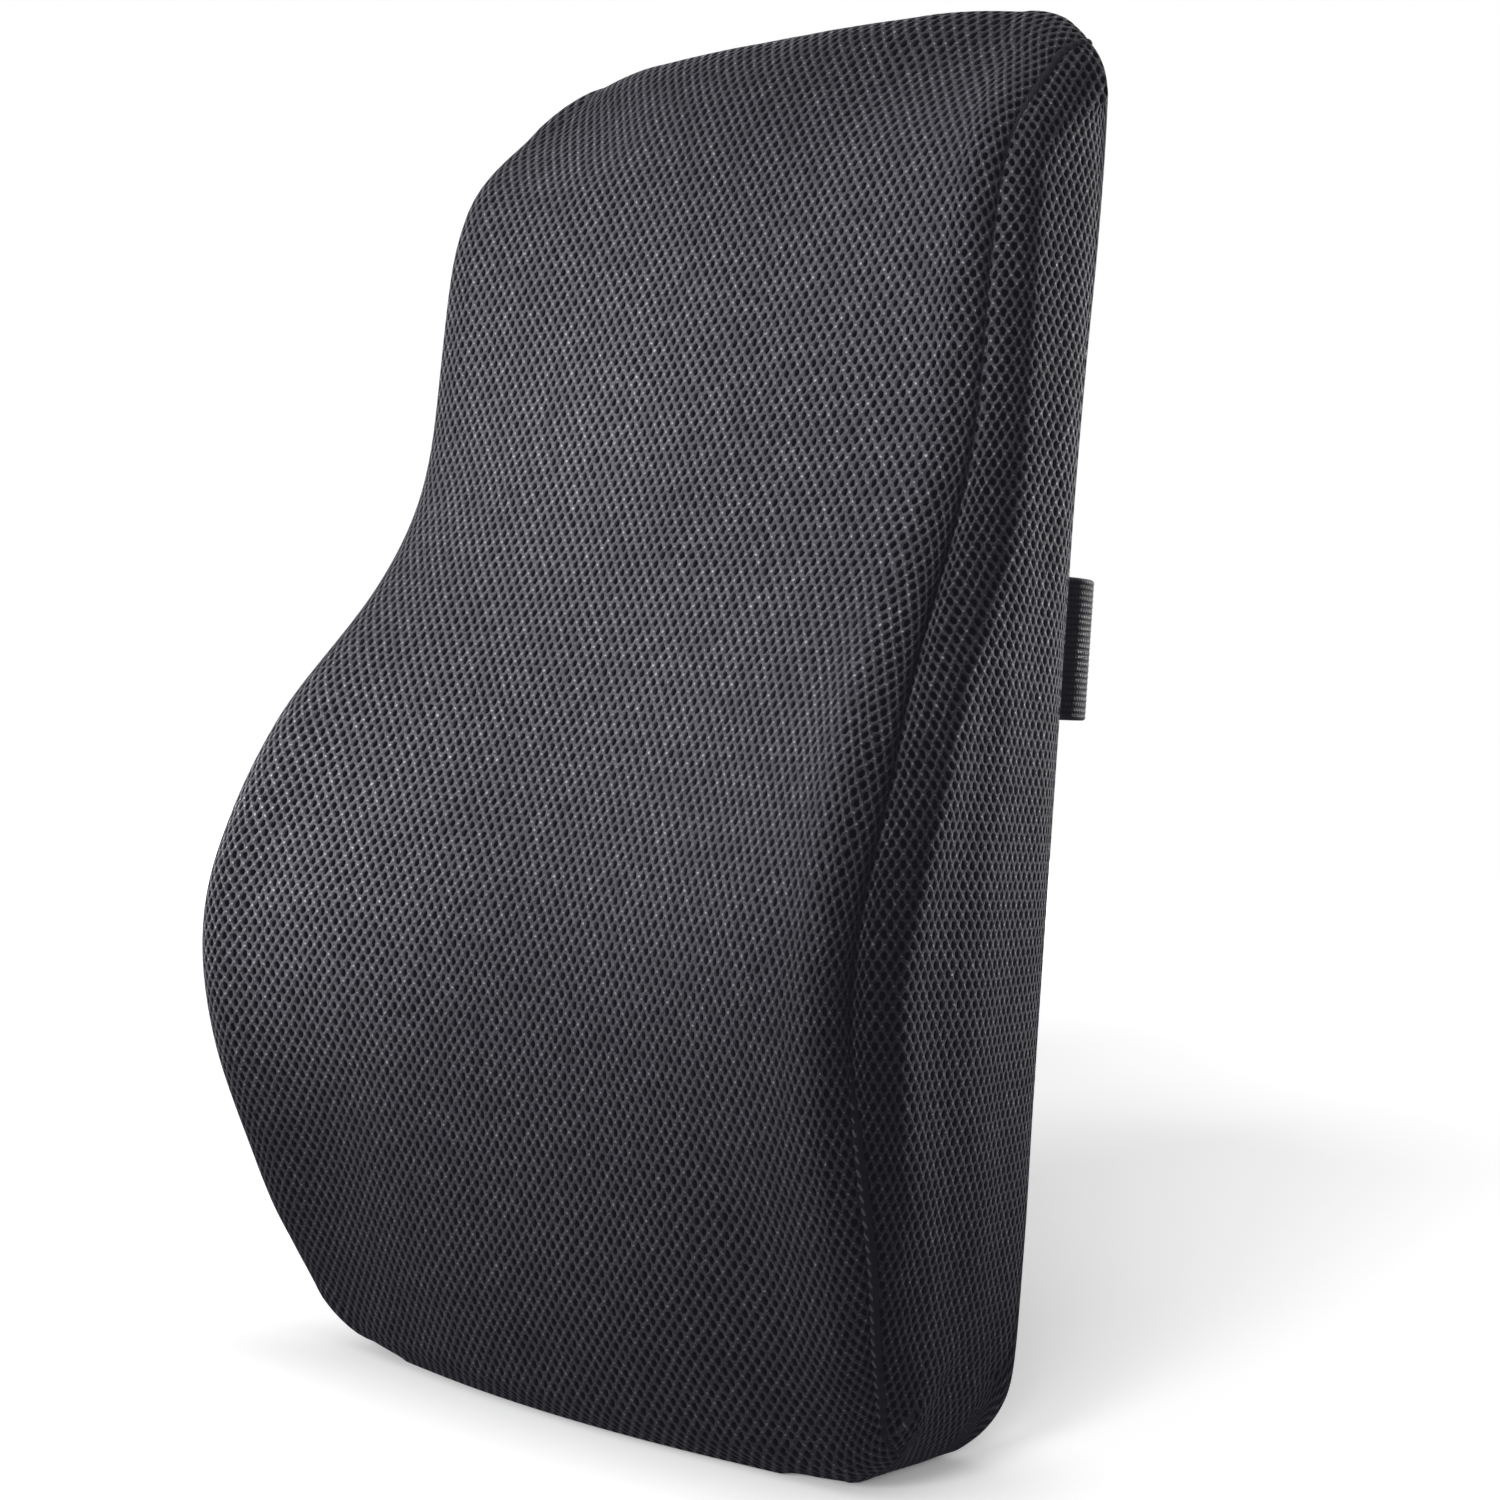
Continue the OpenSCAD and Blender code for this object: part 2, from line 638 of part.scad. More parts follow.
// A prong in the X-Z plane: round root, springy arm and catch head
module prong(side) {
    at_back(mouth_x, strap_z)
        translate([0, stand_off + prong_t / 2, 0])
            rotate([90, 0, 0])
                linear_extrude(prong_t)
                    mirror([0, side > 0 ? 0 : 1])
                        prong_outline();
}
module prong_outline() {
    head_z = buckle_w / 2 - 1.4;
    union() {
        translate([-1, prong_z])
            circle(2.42);
        polygon([
            [-1, prong_z - 1.7],
            [socket_l - 5, prong_z - 1.7],
            [socket_l - 5, prong_z + 2.5],
            [catch_x + 6, head_z],
            [catch_x + slip, head_z],
            [catch_x + slip, prong_z + 1.7],
            [-1, prong_z + 1.7]
        ]);
    }
}
module buckle_prong_upper() {
    color([0.06, 0.06, 0.07])
        prong(1);
}
module buckle_prong_lower() {
    color([0.06, 0.06, 0.07])
        prong(-1);
}

foam_core();
foam_liner();
front_panel();
side_panel_left();
side_panel_right();
back_panel_upper();
back_panel_lower();
zip_tape_upper();
zip_tape_lower();
zip_teeth_upper();
zip_teeth_lower();
zip_slider();
zip_pull();
zip_stop_closed_upper();
zip_stop_closed_lower();
zip_stop_open();
strap_right();
strap_left();
buckle_socket();
buckle_plug();
buckle_prong_upper();
buckle_prong_lower();
strap_adjuster();
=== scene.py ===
"""Lumbar support cushion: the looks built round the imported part.

Lengths are millimetres in the part's frame until a mesh is made: X width, front -Y, back +Y, Z up.
"""

import math
from math import radians

import bpy
import numpy as np
from mathutils import Matrix, Vector


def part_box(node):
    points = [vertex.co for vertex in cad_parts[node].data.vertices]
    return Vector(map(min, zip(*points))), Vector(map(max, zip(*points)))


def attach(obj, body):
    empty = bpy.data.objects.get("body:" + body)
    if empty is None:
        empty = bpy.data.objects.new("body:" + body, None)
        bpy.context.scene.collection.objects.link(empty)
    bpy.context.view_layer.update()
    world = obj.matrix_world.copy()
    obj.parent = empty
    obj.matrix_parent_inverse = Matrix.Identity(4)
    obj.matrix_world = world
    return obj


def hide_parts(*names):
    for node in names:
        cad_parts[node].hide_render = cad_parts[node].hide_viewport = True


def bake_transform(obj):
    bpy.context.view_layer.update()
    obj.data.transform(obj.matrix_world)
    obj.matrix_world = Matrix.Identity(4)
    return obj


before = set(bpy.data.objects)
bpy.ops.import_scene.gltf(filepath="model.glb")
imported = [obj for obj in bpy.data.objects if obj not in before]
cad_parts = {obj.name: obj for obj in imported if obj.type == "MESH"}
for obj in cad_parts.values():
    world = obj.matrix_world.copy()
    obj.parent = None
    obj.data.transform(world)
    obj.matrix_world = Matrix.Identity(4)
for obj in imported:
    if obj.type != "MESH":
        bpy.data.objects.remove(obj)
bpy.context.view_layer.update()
MM = 0.001
SCENE = bpy.context.scene
RIGHT_ANGLE = radians(90)
SIDES = [(-1, "left"), (1, "right")]


def box_mm(node):
    """Lowest and highest corner of a CAD node in millimetres."""
    low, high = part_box(node)
    return np.array(low) / MM, np.array(high) / MM


# ---- the cushion's shape
# The same driving dimensions as the part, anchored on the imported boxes
HEIGHT = box_mm("front_panel")[1][2]
BACK_Y = box_mm("back_panel_upper")[1][1]
BACK_HALF_W = 122
STATION_Z = np.array([0, 60, 145, 215, 300, 400, 450]) * HEIGHT / 450
EDGE_DEPTH = np.array([77, 101, 127, 105, 66, 54, 24])
MIDDLE_DEPTH = np.array([90, 98, 105, 88, 67, 49, 36])
WING_Z = np.array([0, 145, 300, 450]) * HEIGHT / 450
WING = np.array([18, 36, 11, 6])
TOP_R, BOTTOM_R, REAR_TOP_R, REAR_BOTTOM_R = 11, 9, 9, 14
SIDE_R, REAR_SIDE_R, CORNER_R = 12, 8, 31
SIDE_SWELL = 5
CORNER_FADE, PULL_FADE = 85, 150
SEAM_ANGLE = 50
ZIP_Z, ZIP_GAP = 66, 22
LINER_OFF, FOAM_OFF = 4, 5.3
# the side seam slips under at the foot: its angle there, and over which share of the depth and steps up
FOOT_SEAM_ANGLE, FOOT_SEAM_DEPTH, FOOT_SEAM_RISE = 12, 0.2, (0.02, 0.16)
# the bottom corners are lifted and the top droops towards its corners: how far, and between which places
FOOT_LIFT, FOOT_LIFT_REACH, FOOT_LIFT_ACROSS, FOOT_LIFT_DEPTH = 6.4, 50, (88, 134), (-25, 65)
TOP_DROOP, TOP_DROOP_REACH, TOP_DROOP_ACROSS = 4.8, 50, (62, 122)
STRAP_LOW, STRAP_HIGH = box_mm("strap_right")
STRAP_W, STRAP_T, RIBS = STRAP_HIGH[2] - STRAP_LOW[2], 1.4, 24
STRAP_Z = (STRAP_HIGH[2] + STRAP_LOW[2]) / 2


def curve(stations, values, z):
    """Smooth curve through values at stations, with central slopes."""
    last = len(stations) - 1
    index = np.arange(last + 1)
    before, after = np.maximum(index - 1, 0), np.minimum(index + 1, last)
    slopes = (values[after] - values[before]) / (stations[after] - stations[before])
    i = np.clip(np.searchsorted(stations, z, side="right") - 1, 0, last - 1)
    step = stations[i + 1] - stations[i]
    t = (z - stations[i]) / step
    return (
        (2 * t**3 - 3 * t**2 + 1) * values[i]
        + (t**3 - 2 * t**2 + t) * slopes[i] * step
        + (3 * t**2 - 2 * t**3) * values[i + 1]
        + (t**3 - t**2) * slopes[i + 1] * step
    )


def smooth(low, high, x):
    """0 below low, 1 above high and a smooth step between them."""
    t = np.clip((x - low) / (high - low), 0, 1)
    return t * t * (3 - 2 * t)


def level(v):
    """Height at a step up the cushion, with finer steps near the foot and the top."""
    return HEIGHT * (1 - np.cos(np.pi * v)) / 2


def step_of(z):
    """Step up the cushion at a height."""
    return math.acos(1 - 2 * z / HEIGHT) / math.pi


def drawn(radius, distance):
    """How far an edge of that radius has drawn back at that distance from the end face."""
    k = np.clip(1 - distance / radius, 0, 1)
    return radius * (1 - np.sqrt(1 - k * k))


def front_y(v, s):
    z = level(v)
    edge, middle = curve(STATION_Z, EDGE_DEPTH, z), curve(STATION_Z, MIDDLE_DEPTH, z)
    return -(middle + (edge - middle) * s * s) + drawn(BOTTOM_R, z) + drawn(TOP_R, HEIGHT - z)


def rear_y(v, s):
    z = level(v)
    return -drawn(REAR_BOTTOM_R, z) - drawn(REAR_TOP_R, HEIGHT - z) + 0 * s


def outward(line, v, s, sign):
    """Outward direction (y, z) of a profile line, forced square to the flat bottom and top."""
    a, b = np.maximum(v - 0.004, 0), np.minimum(v + 0.004, 1)
    dy, dz = sign * (level(b) - level(a)), sign * (line(a, s) - line(b, s))
    size = np.hypot(dy, dz)
    ends = (v <= 0) | (v >= 1)
    return np.where(ends, 0, dy / size), np.where(v <= 0, -1, np.where(v >= 1, 1, dz / size))


def fade(z, reach):
    return np.clip(1 - z / reach, 0, 1) ** 2 + np.clip(1 - (HEIGHT - z) / reach, 0, 1) ** 2


def edge_point(half, radius, s, a, y, z, direction, off):
    c = np.cos(a)
    rx = radius + (CORNER_R - radius) * fade(z, CORNER_FADE)
    pull = CORNER_R * fade(z, PULL_FADE) * np.where(z < HEIGHT / 2, 1, -1)
    return np.stack([
        (half - rx) * s + (rx - off) * np.sin(a),
        y - direction[0] * (off * c + radius * (1 - c)),
        z - direction[1] * off * c + pull * (1 - c),
    ], -1)


def skin(s, a, v, t, off=0.0):
    """A point of the cushion's surface, off millimetres inside it.

    s is the share of the flat width, a the angle round the side edge, v the step up the height
    and t runs from 0 at the front to 1 at the back.
    """
    s, a, v, t, off = np.broadcast_arrays(*[np.asarray(q, float) for q in (s, a, v, t, off)])
    z = level(v)
    half = BACK_HALF_W + curve(WING_Z, WING, z)
    front = edge_point(half, SIDE_R, s, a, front_y(v, s), z, outward(front_y, v, s, -1), off)
    rear_half = BACK_HALF_W + 0 * z
    rear = edge_point(rear_half, REAR_SIDE_R, s, a, rear_y(v, s), z, outward(rear_y, v, s, 1), off)
    points = front + (rear - front) * t[..., None]
    on_side = np.where(np.abs(a) > radians(89.9), np.sign(a), 0)
    points[..., 0] += on_side * SIDE_SWELL * 4 * t * (1 - t) * np.sin(np.pi * v) ** 2
    points[..., 1] += BACK_Y
    wide, high = np.abs(points[..., 0]), points[..., 2]
    lift = FOOT_LIFT * smooth(*FOOT_LIFT_ACROSS, wide) * (1 - smooth(0, FOOT_LIFT_REACH, high))
    droop = TOP_DROOP * smooth(*TOP_DROOP_ACROSS, wide) * smooth(HEIGHT - TOP_DROOP_REACH, HEIGHT, high)
    points[..., 2] += lift * smooth(*FOOT_LIFT_DEPTH, BACK_Y - points[..., 1]) - droop
    return points


# ---- meshes
def grid_faces(rows, columns, closed=False):
    """Quads of a grid of points stored row by row, where a row may close into a ring."""
    i, j = np.meshgrid(np.arange(rows - 1) * columns, np.arange(columns - 1 + closed), indexing="ij")
    k = (j + 1) % columns
    return np.stack([i + j, i + k, i + columns + k, i + columns + j], -1).reshape(-1, 4)


def faces_in(grid):
    """True if a grid's faces look towards the middle of the cushion."""
    along, over = np.diff(grid, axis=0)[:, :-1], np.diff(grid, axis=1)[:-1]
    away = grid[:-1, :-1] - np.array([0, BACK_Y - 50, HEIGHT / 2])
    return np.sum(np.cross(over, along) * away) < 0


def join_grids(grids):
    """One set of points, UVs and quads from (points, uvs) grids, with shared points welded."""
    points, uvs, quads, base = [], [], [], 0
    for grid, uv in grids:
        rows, columns = grid.shape[:2]
        points.append(grid.reshape(-1, 3))
        uvs.append(uv.reshape(-1, 2))
        faces = grid_faces(rows, columns) + base
        quads.append(faces[:, ::-1] if faces_in(grid) else faces)
        base += rows * columns
    points, uvs, quads = np.concatenate(points), np.concatenate(uvs), np.concatenate(quads)
    _, first, index = np.unique(np.round(points, 3), axis=0, return_index=True, return_inverse=True)
    return points[first], uvs, quads, index.reshape(-1)


def make_mesh(name, points, quads, uvs=None, corners=None, angle=None):
    """A new object. uvs holds one row per corner in corners, or one per point."""
    mesh = bpy.data.meshes.new(name)
    mesh.from_pydata(np.asarray(points) * MM, [], np.asarray(quads).tolist())
    if uvs is not None:
        rows = np.ravel(quads if corners is None else corners)
        layer = mesh.uv_layers.new(name="cloth")
        layer.data.foreach_set("uv", uvs[rows].astype(np.float32).ravel())
    mesh.validate()
    mesh.shade_smooth()
    if angle is not None:
        mesh.set_sharp_from_angle(angle=radians(angle))
    thing = bpy.data.objects.new(name, mesh)
    SCENE.collection.objects.link(thing)
    return thing


def make_from_grids(name, grids, angle=None):
    """An object from (points, uvs) grids."""
    points, uvs, quads, index = join_grids(grids)
    return make_mesh(name, points, index[quads], uvs, quads, angle)


def finish_piece(thing, material, node=None, body="cushion"):
    """Material, material slot, the CAD node a piece stands for and the body it rides on."""
    thing.data.materials.append(material)
    if body:
        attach(thing, body)
    if node:
        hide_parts(node)


def unit(vectors):
    return vectors / (np.linalg.norm(vectors, axis=-1, keepdims=True) + 1e-9)


def lengths(points, axis):
    """Running length along an axis of a grid of points, starting at 0."""
    steps = np.linalg.norm(np.diff(points, axis=axis), axis=-1)
    start = np.zeros_like(np.take(steps, [0], axis=axis))
    return np.concatenate([start, np.cumsum(steps, axis=axis)], axis=axis)


# ---- swelling the cover
SIM_FRAMES, SIM_PRESSURE = 20, 4
SWELL_START, SWELL_CAP = 0.4, 2.6
TURN_ANGLES = [90, 78, 64, 50, 36, 22, 10]
SIM_FLAT_STEPS = 36
CAP_V, CAP_T = np.linspace(0, 1, 71), np.linspace(0, 1, 15)


def columns_at(turn, flat_steps):
    """Share of the flat width and angle round the edge of each column, for turn angles in degrees."""
    turn, flat = np.radians(turn), np.linspace(-1, 1, flat_steps + 1)
    sides = np.ones(len(turn))
    s = np.concatenate([-sides, flat, sides])
    return s, np.concatenate([-turn, np.zeros(len(flat)), turn[::-1]])


def rim_path(v, t):
    """Round the rim of a side from the foot: up the front, over the top, down the back and under.

    Besides v and t it gives the running place: 0-1 front, 1-2 top, 2-3 back, 3-4 bottom.
    """
    loop_v = np.concatenate([v, 0 * t[1:] + 1, v[::-1][1:], 0 * t[1:]])
    loop_t = np.concatenate([0 * v, t[1:], 0 * v[1:] + 1, t[::-1][1:]])
    return loop_v, loop_t, np.concatenate([v, 1 + t[1:], 2 + v[1:], 3 + t[1:]])


def column_of(s, a):
    """Position across the cover: -1 to 1 on the flat, out to 2 at the end of the turn."""
    return s + a / RIGHT_ANGLE


def swell_cover():
    """Inflates the whole cover as cloth sewn down along its seams.

    Returns the displacement of the strip round the cushion, and of the cap on each side.
    """
    s, a = columns_at(TURN_ANGLES, SIM_FLAT_STEPS)
    v, t, place = rim_path(CAP_V, CAP_T)
    strip = skin(s[None], a[None], v[:, None], t[:, None], SWELL_START)
    grids = [strip] + [
        skin(side, side * RIGHT_ANGLE, CAP_V[:, None], CAP_T[None], SWELL_START) for side in (-1, 1)
    ]
    points, _, quads, index = join_grids([(g, np.zeros(g.shape[:2] + (2,))) for g in grids])
    side_seams = np.abs(np.abs(a) - radians(SEAM_ANGLE)) < 0.01
    end_seams = ((v < 0.001) | (v > 0.999)) & (t > 0.999)
    rests = strip[..., 2] < SWELL_START + 0.1
    held = side_seams[None] | end_seams[:, None] | rests
    moved = np.zeros_like(points)
    moved = simulate(points, index[quads], np.unique(index[: held.size][held.ravel()])) - points
    size = np.linalg.norm(moved, axis=1, keepdims=True) + 1e-9
    moved *= SWELL_CAP * np.tanh(size / SWELL_CAP) / size
    parts = np.split(moved[index], np.cumsum([g.size // 3 for g in grids])[:-1])
    fields = [blurred(p.reshape(g.shape), 2) for p, g in zip(parts, grids)]
    caps = {-1: (CAP_V, CAP_T, fields[1]), 1: (CAP_V, CAP_T, fields[2])}
    return (place, column_of(s, a), fields[0]), caps


def simulate(points, quads, pinned):
    """Blender's cloth with pressure inside, no gravity and sewn points held."""
    thing = make_mesh("swelling", points, quads)
    held = thing.vertex_groups.new(name="sewn")
    held.add([int(i) for i in pinned], 1.0, "REPLACE")
    cloth = thing.modifiers.new("cloth", "CLOTH")
    cloth.settings.quality = 4
    cloth.settings.vertex_group_mass = "sewn"
    cloth.settings.use_pressure = True
    cloth.settings.uniform_pressure_force = SIM_PRESSURE
    cloth.settings.effector_weights.gravity = 0
    cloth.point_cache.frame_start = 1
    cloth.point_cache.frame_end = SIM_FRAMES
    for number in range(1, SIM_FRAMES + 1):
        SCENE.frame_set(number)
    evaluated = thing.evaluated_get(bpy.context.evaluated_depsgraph_get())
    result = np.empty(len(evaluated.data.vertices) * 3, np.float32)
    evaluated.data.vertices.foreach_get("co", result)
    bpy.data.objects.remove(thing)
    SCENE.frame_set(1)
    return result.reshape(-1, 3).astype(float) / MM


def blurred(field, passes):
    """The field averaged with its neighbours inside the grid, edges kept."""
    for _ in range(passes):
        inner = field[1:-1, 1:-1] * 2
        inner = inner + field[:-2, 1:-1] + field[2:, 1:-1] + field[1:-1, :-2] + field[1:-1, 2:]
        field = field.copy()
        field[1:-1, 1:-1] = inner / 6
    return field


def sample(rows, columns, field, r, c):
    """The field at row and column positions r and c, by linear interpolation."""
    i = np.clip(np.searchsorted(rows, r, side="right") - 1, 0, len(rows) - 2)
    j = np.clip(np.searchsorted(columns, c, side="right") - 1, 0, len(columns) - 2)
    p = np.clip((r - rows[i]) / (rows[i + 1] - rows[i]), 0, 1)[..., None]
    q = np.clip((c - columns[j]) / (columns[j + 1] - columns[j]), 0, 1)[..., None]
    near = field[i, j] * (1 - q) + field[i, j + 1] * q
    far = field[i + 1, j] * (1 - q) + field[i + 1, j + 1] * q
    return near * (1 - p) + far * p


SWELL_STRIP, SWELL_CAPS = swell_cover()


def strip_swell(s, a, place):
    """The cloth's displacement at points of the strip."""
    s, a, place = np.broadcast_arrays(s, a, place)
    return sample(*SWELL_STRIP, place, column_of(s, a))


def cap_swell(side, v, t):
    """The cloth's displacement at points of the cap on one side."""
    return sample(*SWELL_CAPS[side], *np.broadcast_arrays(v, t))


# ---- seams
VALLEY_DEPTH, VALLEY_WIDTH, NARROW_WIDTH = 6.5, 10.5, 7.0
FOOT_VALLEY, SHOULDER_VALLEY, TOP_VALLEY = 1.5, 3.0, 0.3
# heights between which the valley changes
FOOT_RISE, WAIST_RISE, SHOULDER_FALL, TOP_FALL = (5, 45), (70, 150), (230, 340), (350, 430)
NARROWING, TOP_CLOSE, CORNER_RISE = (250, 350), (HEIGHT - 60, HEIGHT - 15), (HEIGHT - 170, HEIGHT - 20)
LEFT_SHARE = 0.12
REAR_VALLEY_DEPTH, REAR_VALLEY_WIDTH = 0.5, 4.0
ROLL_HEIGHT, ROLL_AT, ROLL_WIDTH = 0.3, 1.9, 1.0
TOP_PUFF, TOP_PUFF_STEP, CORNER_PUFF = 2.4, 0.88, 3.4
EDGE_PUFF_Z = np.array([0, 90, 150, 210, 265, 340, 450])
EDGE_PUFF = np.array([4.0, 3.2, 0.4, 3.4, -1.6, 2.0, 0.0])
EDGE_PUFF_REACH = 26
REAR_PUFF = 1.2
GROOVE_DEPTH, GROOVE_WIDTH = 2.0, 1.9
HEM_DIVE = np.array([1.2, 3.2, 6.0])
HEM_ROWS = len(HEM_DIVE)
END_DEPTH, END_WIDTH = 1.6, 4.0
# half the angle between two panels' edges at a side seam, in degrees
SEAM_GAP = 0.6
SEAM_CROWD, SEAM_CROWD_REACH = 0.42, 15
SIDE_BULGE = 2.5
RIPPLE_HEIGHT, RIPPLE_FOLDS, RIPPLE_LEAN = 0.7, 2.2, 0.0016
RIPPLE_RISE, RIPPLE_FALL = (20, 90), (250, 330)


def front_valley(z):
    """Depth of the dip along the front seam: deep beside the waist, shallow at the foot and the top."""
    deep = FOOT_VALLEY * smooth(*FOOT_RISE, z) + (VALLEY_DEPTH - FOOT_VALLEY) * smooth(*WAIST_RISE, z)
    deep = deep + (SHOULDER_VALLEY - deep) * smooth(*SHOULDER_FALL, z)
    return deep + (TOP_VALLEY - deep) * smooth(*TOP_FALL, z)


def edge_puff(distance, z, t):
    """How far the stuffing pushes the cover out along the side edges."""
    share = np.exp(-((distance / EDGE_PUFF_REACH) ** 2))
    return share * (curve(EDGE_PUFF_Z, EDGE_PUFF, z) * (1 - t) + REAR_PUFF * t)


def corner_puff(a, z):
    """How far the stuffing fills the rounded corners at the top."""
    return CORNER_PUFF * smooth(*CORNER_RISE, z) * np.sin(np.abs(a))


def top_puff(v, a):
    """How far the stuffing fills the cover along the top."""
    return TOP_PUFF * smooth(TOP_PUFF_STEP, 1.0, v) * np.cos(a) ** 2


def valley_at(z, t, side):
    """Depth and width of the dip along a side seam, from the front edge to the back edge."""
    depth = front_valley(z) * (1 - t) + REAR_VALLEY_DEPTH * t
    front_width = VALLEY_WIDTH + (NARROW_WIDTH - VALLEY_WIDTH) * smooth(*NARROWING, z)
    width = front_width * (1 - t) + REAR_VALLEY_WIDTH * t
    return depth * np.where(np.asarray(side) < 0, LEFT_SHARE, 1.0), width


def dip(distance, depth, width, z=200.0):
    """How far the cover lies inside the plain shape at a distance from a seam, with a roll beside it."""
    valley = depth * np.exp(-((distance / width) ** 2))
    roll = ROLL_HEIGHT * depth * np.exp(-(((distance / width - ROLL_AT) / ROLL_WIDTH) ** 2))
    open_part = smooth(*FOOT_RISE, z) * (1 - smooth(*TOP_CLOSE, z))
    groove = GROOVE_DEPTH * (0.1 + 0.9 * open_part) * np.exp(-((distance / GROOVE_WIDTH) ** 2))
    return valley - roll + groove


def seam_angle(v, t):
    """Angle of the side seam round the edge, in radians: it slips under at the foot."""
    under = smooth(0, FOOT_SEAM_DEPTH, t) * (1 - smooth(*FOOT_SEAM_RISE, v))
    return np.radians(SEAM_ANGLE + (FOOT_SEAM_ANGLE - SEAM_ANGLE) * under)


def recess_at(distance, v, z, t, side, angle):
    """How far the cover lies inside the plain shape on the turned edge, at a distance from the side seam."""
    recess = dip(distance, *valley_at(z, t, side), z) - edge_puff(distance, z, t)
    return recess - corner_puff(angle, z) - top_puff(v, angle)


def across(edge_angle, turn_steps, flat_steps):
    """Columns of a panel that ends at an angle round each side edge."""
    return columns_at(np.linspace(edge_angle, 0, turn_steps + 1)[:-1], flat_steps)


def hemmed(values, *axes):
    """Repeats the first and last entries along each axis to make room for the hem's rows."""
    for axis in axes:
        first, last = np.take(values, [0], axis=axis), np.take(values, [-1], axis=axis)
        values = np.concatenate([first] * HEM_ROWS + [values] + [last] * HEM_ROWS, axis=axis)
    return values


def dive_of(count):
    """How far each of count rows or columns dives inward: the hem at both ends, nothing between."""
    return np.concatenate([HEM_DIVE[::-1], np.zeros(count - 2 * HEM_ROWS), HEM_DIVE])


def wide_panel(v, t, place, steps):
    """Points and UVs of a panel between the two side seams, along the path (v, t) of the loop."""
    s, a = across(SEAM_ANGLE - SEAM_GAP, 9, steps)
    slip = (seam_angle(v, t) / radians(SEAM_ANGLE))[:, None]
    plain = skin(s[None], a[None] * slip, v[:, None], t[:, None])
    u, w = lengths(plain, 1), lengths(plain, 0)
    to_side, to_end = np.minimum(u, u[:, -1:] - u), np.minimum(w, w[-1:] - w)
    middle = len(s) // 2
    z = plain[..., 2]
    beside = dip(to_side, *valley_at(z, t[:, None], s[None]), z)
    ends = dip(to_end, END_DEPTH, END_WIDTH)
    deeper = np.maximum(beside, ends)
    recess = np.where(deeper > 0, deeper, beside + ends)
    recess = recess - edge_puff(to_side, z, t[:, None]) - corner_puff(a[None] * slip, z)
    uv_u = u - u[:, middle : middle + 1] + np.sign(s)[None] * crowd(to_side)
    uv_w = np.repeat(w[:, middle : middle + 1], len(s), 1)
    s, a, v, t, slip, place = [hemmed(q, 0) for q in (s, a, v[:, None], t[:, None], slip, place)]
    a = a[None] * slip
    side_dive, end_dive = dive_of(len(s))[None], dive_of(len(v))[:, None]
    off = SWELL_START + hemmed(recess, 0, 1) + side_dive + end_dive - top_puff(v, a)
    points = skin(s[None], a, v, t, off) + strip_swell(s[None], a, place[:, None])
    uv = np.stack([hemmed(uv_u, 0, 1), hemmed(uv_w, 0, 1)], -1)
    uv[..., 0] += side_dive * np.sign(s)[None]
    uv[..., 1] += end_dive * np.linspace(-1, 1, len(v)).round()[:, None]
    return rested(points), uv


def crowd(to_seam):
    """How far the gathered cloth has slipped towards a seam, in the cloth's own millimetres."""
    return SEAM_CROWD * np.maximum(SEAM_CROWD_REACH - to_seam, 0)


def unrolled(border, corner_uv):
    """UVs of a border that bends round a sloping edge, laid flat beside the edge's own UVs."""
    along = unit(np.gradient(corner_uv, axis=0))
    beside = np.stack([-along[:, 1], along[:, 0]], -1)
    way = border - border[:, :1]
    on_edge = way[..., 1] * along[:, :1] + way[..., 2] * along[:, 1:]
    steps = (np.diff(border, axis=1) ** 2).sum(-1) - np.diff(on_edge, axis=1) ** 2
    run = np.cumsum(np.sqrt(np.maximum(steps, 0)), 1)
    run = np.concatenate([np.zeros((len(run), 1)), run], 1)
    return corner_uv[:, None] + along[:, None] * on_edge[..., None] + beside[:, None] * run[..., None]


def fanned(offsets, reach=9):
    """Turns the cloth round the corners of a border little by little, and keeps its width."""
    turned = sum(np.roll(offsets, k, 0) for k in range(-reach, reach + 1))
    return unit(turned) * np.linalg.norm(offsets, axis=-1, keepdims=True)


def rested(points):
    """The cushion stands on its bottom and leans on its back, so both are pressed flat."""
    points = points.copy()
    points[..., 2] = np.maximum(points[..., 2], 0)
    points[..., 1] = np.minimum(points[..., 1], BACK_Y + 0.4)
    return points


def rim_of(grid):
    """The values of a side's grid along its rim, in the order of rim_path."""
    return np.concatenate([grid[:, 0], grid[-1, 1:], grid[::-1, -1][1:], grid[0, ::-1][1:]])


